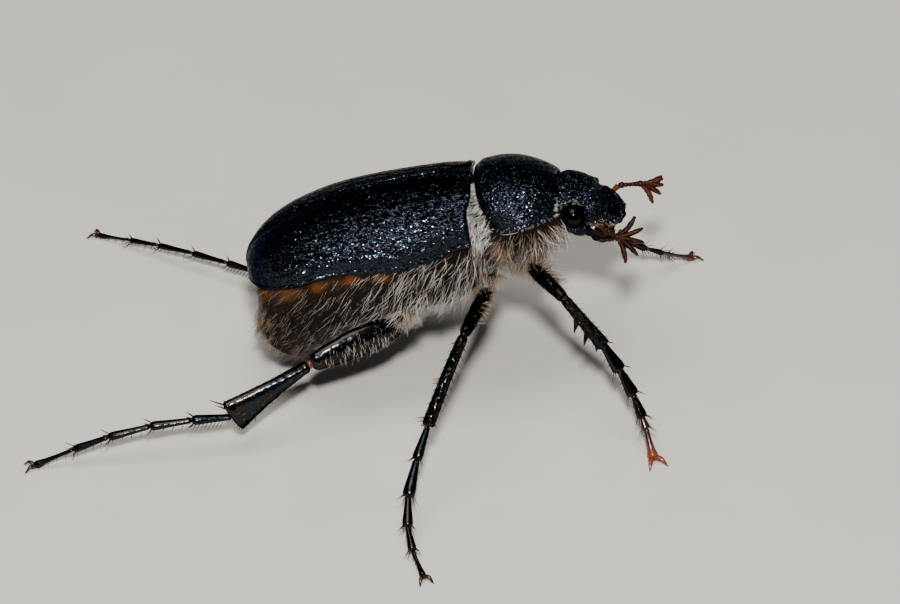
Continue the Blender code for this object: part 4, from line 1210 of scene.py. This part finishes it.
def body_coats(body, rings):
    """Silver collar, pale breast, golden throat, long white belly hairs, and short brown ones between."""
    x, y, z = body[..., 0], np.abs(body[..., 1]), body[..., 2]
    coats = {name: Coat() for name in ("collar", "breast", "throat", "belly")}

    def roots(count, weight):
        """Spots on the skin, and their places in the body's own frame."""
        spots = scatter(rings, count, weight)
        return spots, (spots[0] + CENTRE - BODY_AT) @ ATTITUDE

    def sideways(spots):
        return ASIDE * np.sign(spots[0][:, 1:2] - placed(np.zeros(3))[1])

    spots, _ = roots(1250, (x > 0.34) * (x < 1.15) * (z > -0.15) * ease(y, 0.55, 0.8))
    lie = BACK * 0.62 - UP * 0.75 + sideways(spots) * 0.25
    coats["collar"].add(spots, lie, (0.36, 0.62), 0.0195, varied(1.06, 0.34, 1250), 1, 0.45, 0.02, 0.20, 0.0)

    spots, home = roots(2100, ease(x, -3.9, -2.6) * (1 - ease(x, 0.7, 1.1)) * (1 - ease(z, -0.05, 0.15)))
    lie = BACK * (0.75 - 0.45 * ease(-home[:, 2:3], 0.8, 2.4)) - UP * 0.8 + sideways(spots) * 0.05
    tone = varied(0.84, 0.22, 2100)
    coats["breast"].add(spots, lie, (0.42, 0.98), 0.0155, tone, 1, 0.26, 0.02, 0.24, 0.0, 0.12, 0.6)

    gold = ease(x, 0.9, 1.3) * (1 - ease(z, 0.1, 0.4)) * (x < 4.0) * (z < 0.40 - 0.22 * ease(x, 2.4, 3.4))
    spots, home = roots(1700, gold)
    ahead = ease(home[:, :1], 2.2, 3.6)
    tone = varied(0.57, 0.27, 1700) + 0.18 * ahead[:, 0]
    lie = BACK * (0.5 - 0.9 * ahead) - UP * 1.1
    coats["throat"].add(spots, lie, (0.40, 1.0), 0.0155, tone, 1, 0.50, 0.02, 0.32, 0.0, 0.06, 1.1)

    low = (1 - ease(x, -3.6, -3.0)) * (1 - ease(z, -0.25, -0.05))
    belly = coats["belly"]
    belly.add(roots(1100, low)[0], BACK * 0.8 - UP * 0.5, (0.20, 0.36), 0.014, 0.06, 2, 0.25, 0.05, 0.2, 0.2)
    spots, home = roots(1800, low)
    keep = RANDOM.random(1800) < 0.25 + 0.75 * hump((home[:, 0] + 3.35) % 0.85, 0.35, 0.22)
    spots = [values[keep] for values in spots]
    tone = varied(0.52 + 0.42 * ease(home[keep, 0], -7.5, -4.2), 0.16, np.sum(keep))
    belly.add(spots, BACK * 0.75 - UP * 0.75, (0.45, 0.90), 0.0135, tone, 1, 0.22, 0.02, 0.16, 0.0, 0.10)
    spots, _ = roots(130, (x < -7.9) * (z < -1.6))
    belly.add(spots, BACK * 0.7 - UP * 0.9, (0.40, 0.70), 0.016, 0.48, 4, 0.5, 0.06, 0.2, 0.5)
    for name, coat in coats.items():
        coat.make("coat_" + name, "underside")


def leg_coats(legs):
    """Golden fringes at the roots of the legs, and thin bristles along femora and shins."""
    # strands: number, lengths, tone and strands in each tuft on the coxa, and the first three on the femur
    tufts = {
        "front": (420, (0.45, 0.95), 0.52, 3, 150, (0.24, 0.50), 0.50),
        "mid": (260, (0.4, 0.75), 0.62, 3, 130, (0.20, 0.44), 0.50),
        "hind": (260, (0.4, 0.75), 0.74, 2, 130, (0.16, 0.30), 0.40),
    }
    for name, part in legs.items():
        coat = Coat()
        kind, thigh, shin = part["kind"], part["femur"], part["tibia"]
        normals = outward(thigh, True)
        rows = steps(len(thigh))[:, None] * np.ones(thigh.shape[1])

        def grow(grid, weight, count, lie, length, width, tone, spread, *style):
            spots = scatter(grid, count, np.broadcast_to(weight, grid.shape[:2]))
            coat.add(spots, lie, length, width, varied(tone, spread, count) if spread else tone, *style)

        count, length, tone, strands, femur_count, femur_length, femur_tone = tufts[kind]
        grow(part["coxa"], 1.0, count, -UP, length, 0.020, tone, 0.1, strands, 0.5, 0.05, 0.25, 0.1)
        weight = 0.06 + (1 - ease(rows, 0.12, 0.50)) * 1.2
        lie = part["thigh"]
        grow(thigh, weight, femur_count, lie, femur_length, 0.020, femur_tone, 0.1, 1, 1.1, 0.05, 0.25, 0.1)
        if kind == "hind":
            aside = normals[..., 1] * part["sign"]
            face = hump(np.arctan2(normals[..., 2], np.abs(aside)), 0.15, 0.42) * (aside > 0)
            face = face * ease(rows, 0.12, 0.2) * (1 - ease(rows, 0.8, 0.86))
            grow(thigh, face, 90, -UP, (0.24, 0.42), 0.015, 0.85, 0.1, 1, 0.5, 0.02, 0.14, 0.1)
        else:
            face = ease(normals[..., 0], 0.2, 0.7) * (1 - ease(rows, 0.45, 0.8)) * ease(rows, 0.02, 0.08)
            count, longest = {"front": (240, 0.85), "mid": (120, 0.50)}[kind]
            lie, length = -UP * 0.8 - BACK * 0.5, (0.45 * longest, longest)
            grow(thigh, face, count, lie, length, 0.017, 0.55, 0.16, 1, 0.8, 0.03, 0.35, 0.1, 0.0, 1.2)
        grow(shin, 1.0, 90, part["shin"], (0.12, 0.24), 0.020, 0.25, 0.0, 1, 0.5, 0.02, 0.2, 0.2)
        coat.make("bristles_" + name, "limb", 0.1)


def head_coat(grid, rings, shield):
    """White bristles over each eye and on the pronotum's corners and edges, pale ones round the mouth."""
    coat = Coat()
    x, y, z = (grid[..., j] for j in range(3))
    gap = np.minimum(eye_gap(grid, -1), eye_gap(grid, 1))
    arc = hump(gap, EYE_RADIUS + 0.05, 0.08) * ease(z, EYE_AT[2] + 0.15, EYE_AT[2] + 0.35)
    cheek = ease(x, 4.75, 5.0) * (1 - ease(x, 5.7, 5.9)) * (z < -0.10) * (z > -0.62) * (np.abs(y) > 0.8)
    chin = ease(x, 4.2, 4.5) * (1 - ease(x, 5.4, 5.6)) * (z < -0.55)
    rows, cols = steps(shield.shape[0])[:, None], steps(shield.shape[1])[None]
    flank = np.minimum(cols, 1 - cols)
    front = ease(rows, 0.90, 0.965) * (1 - ease(flank, 0.16, 0.26))
    edge = ease(rows, 0.02, 0.1) * (1 - ease(flank, 0.018, 0.045))
    for count, weight, lie, length, width, tone, strands, lift, spread in (
        (120, arc, BACK * 0.6 + UP * 0.6, (0.09, 0.17), 0.017, 0.95, 1, 0.5, 0.02),
        (110, cheek, -UP * 0.8 - BACK * 0.6, (0.14, 0.30), 0.017, 0.62, 2, 0.6, 0.03),
        (160, chin, -UP * 0.7 - BACK * 0.7, (0.16, 0.34), 0.016, 0.72, 2, 0.6, 0.03),
        (95, front, -BACK * 0.9 - UP * 0.4, (0.09, 0.20), 0.017, 0.92, 1, 0.7, 0.02),
        (90, edge, -UP * 0.9, (0.10, 0.20), 0.015, 0.80, 1, 0.6, 0.02),
    ):
        on_head = weight.shape == rings.shape[:2]
        spots = scatter(rings if on_head else shield, count, weight, on_head)
        coat.add(spots, lie, length, width, tone, strands, lift, spread, 0.3, 0.1)
    coat.make("coat_head", "underside")


# ---- camera, light and floor

VIEW_DOWN = math.radians(38.0)  # how far the camera looks down
VIEW_HEIGHT, VIEW_DISTANCE, LENS = 2.72, 250.0, 250.0
SKY_COLOUR, SKY_STRENGTH = (0.80, 0.86, 0.95, 1.0), 0.06
FLOOR_RADII, FLOOR_SIDES = np.array((1.0, 8.0, 30.0, 90.0, 200.0)), 96


def in_scene(name, data):
    made = bpy.data.objects.new(name, data)
    bpy.context.scene.collection.objects.link(made)
    return made


def turned_to(spot, z_axis, y_axis):
    """A place in millimetres, with the local z and y axes there."""
    turn = Matrix((np.cross(y_axis, z_axis), y_axis, z_axis)).transposed().to_4x4()
    return Matrix.Translation(spot * MM) @ turn


def lamp(name, way, distance, size, strength, colour):
    """A round light that shines back along way: distance and size in millimetres, strength in watts."""
    way = unit(np.array(way, float))
    data = bpy.data.lights.new(name, "AREA")
    data.shape, data.size, data.energy, data.color = "DISK", size * MM, strength, colour
    side = unit(np.cross((0.0, 1.0, 0.001), way))
    in_scene(name, data).matrix_world = turned_to(way * distance + (0, 0, 3), way, np.cross(way, side))


def camera_and_light():
    """The camera, a large soft light overhead, a smaller, brighter one from in front, and a faint sky."""
    up = np.array((0, math.sin(VIEW_DOWN), math.cos(VIEW_DOWN)))
    toward = np.array((0, -math.cos(VIEW_DOWN), math.sin(VIEW_DOWN)))
    lens = bpy.data.cameras.new("camera")
    lens.lens, lens.sensor_width, lens.clip_start, lens.clip_end = LENS, 36.0, 0.01, 10.0
    eye = in_scene("camera", lens)
    eye.matrix_world = turned_to(up * VIEW_HEIGHT - CENTRE + toward * VIEW_DISTANCE, toward, up)
    bpy.context.scene.camera = eye
    lamp("key", (-0.10, -0.16, 1.0), 150.0, 90.0, 0.12, (1.0, 0.985, 0.96))
    lamp("front", (0.02, -0.68, 0.73), 240.0, 18.0, 0.68, (1.0, 0.99, 0.97))
    world = bpy.data.worlds.new("studio")
    world.use_nodes = True
    sky = world.node_tree.nodes["Background"].inputs
    sky["Color"].default_value, sky["Strength"].default_value = SKY_COLOUR, SKY_STRENGTH
    bpy.context.scene.world = world


def floor():
    t = turns(FLOOR_SIDES)
    rings = stack(FLOOR_RADII[:, None] * np.cos(t), FLOOR_RADII[:, None] * np.sin(t), 0.0)
    points = np.concatenate((rings.reshape(-1, 3), ((0, 0, 0),)))
    c = np.arange(FLOOR_SIDES)
    fan = stack(len(points) - 1, c, (c + 1) % FLOOR_SIDES)
    quads = grid_faces(len(FLOOR_RADII), FLOOR_SIDES, True)[:, ::-1]
    mesh = bpy.data.meshes.new("floor")
    mesh.from_pydata((points * MM).tolist(), [], quads.tolist() + fan.tolist())
    mesh.materials.append(floor_look())
    in_scene("floor", mesh)


# ---- the beetle

wing_cases()
scutellum()
shield = pronotum()
face, face_rings = head()
body, rings = skin()
mouth()
antenna("left")
antenna("right")
legs = {name: leg(name) for name in LEGS}
body_coats(body, rings)
leg_coats(legs)
head_coat(face, face_rings, shield)
camera_and_light()
floor()
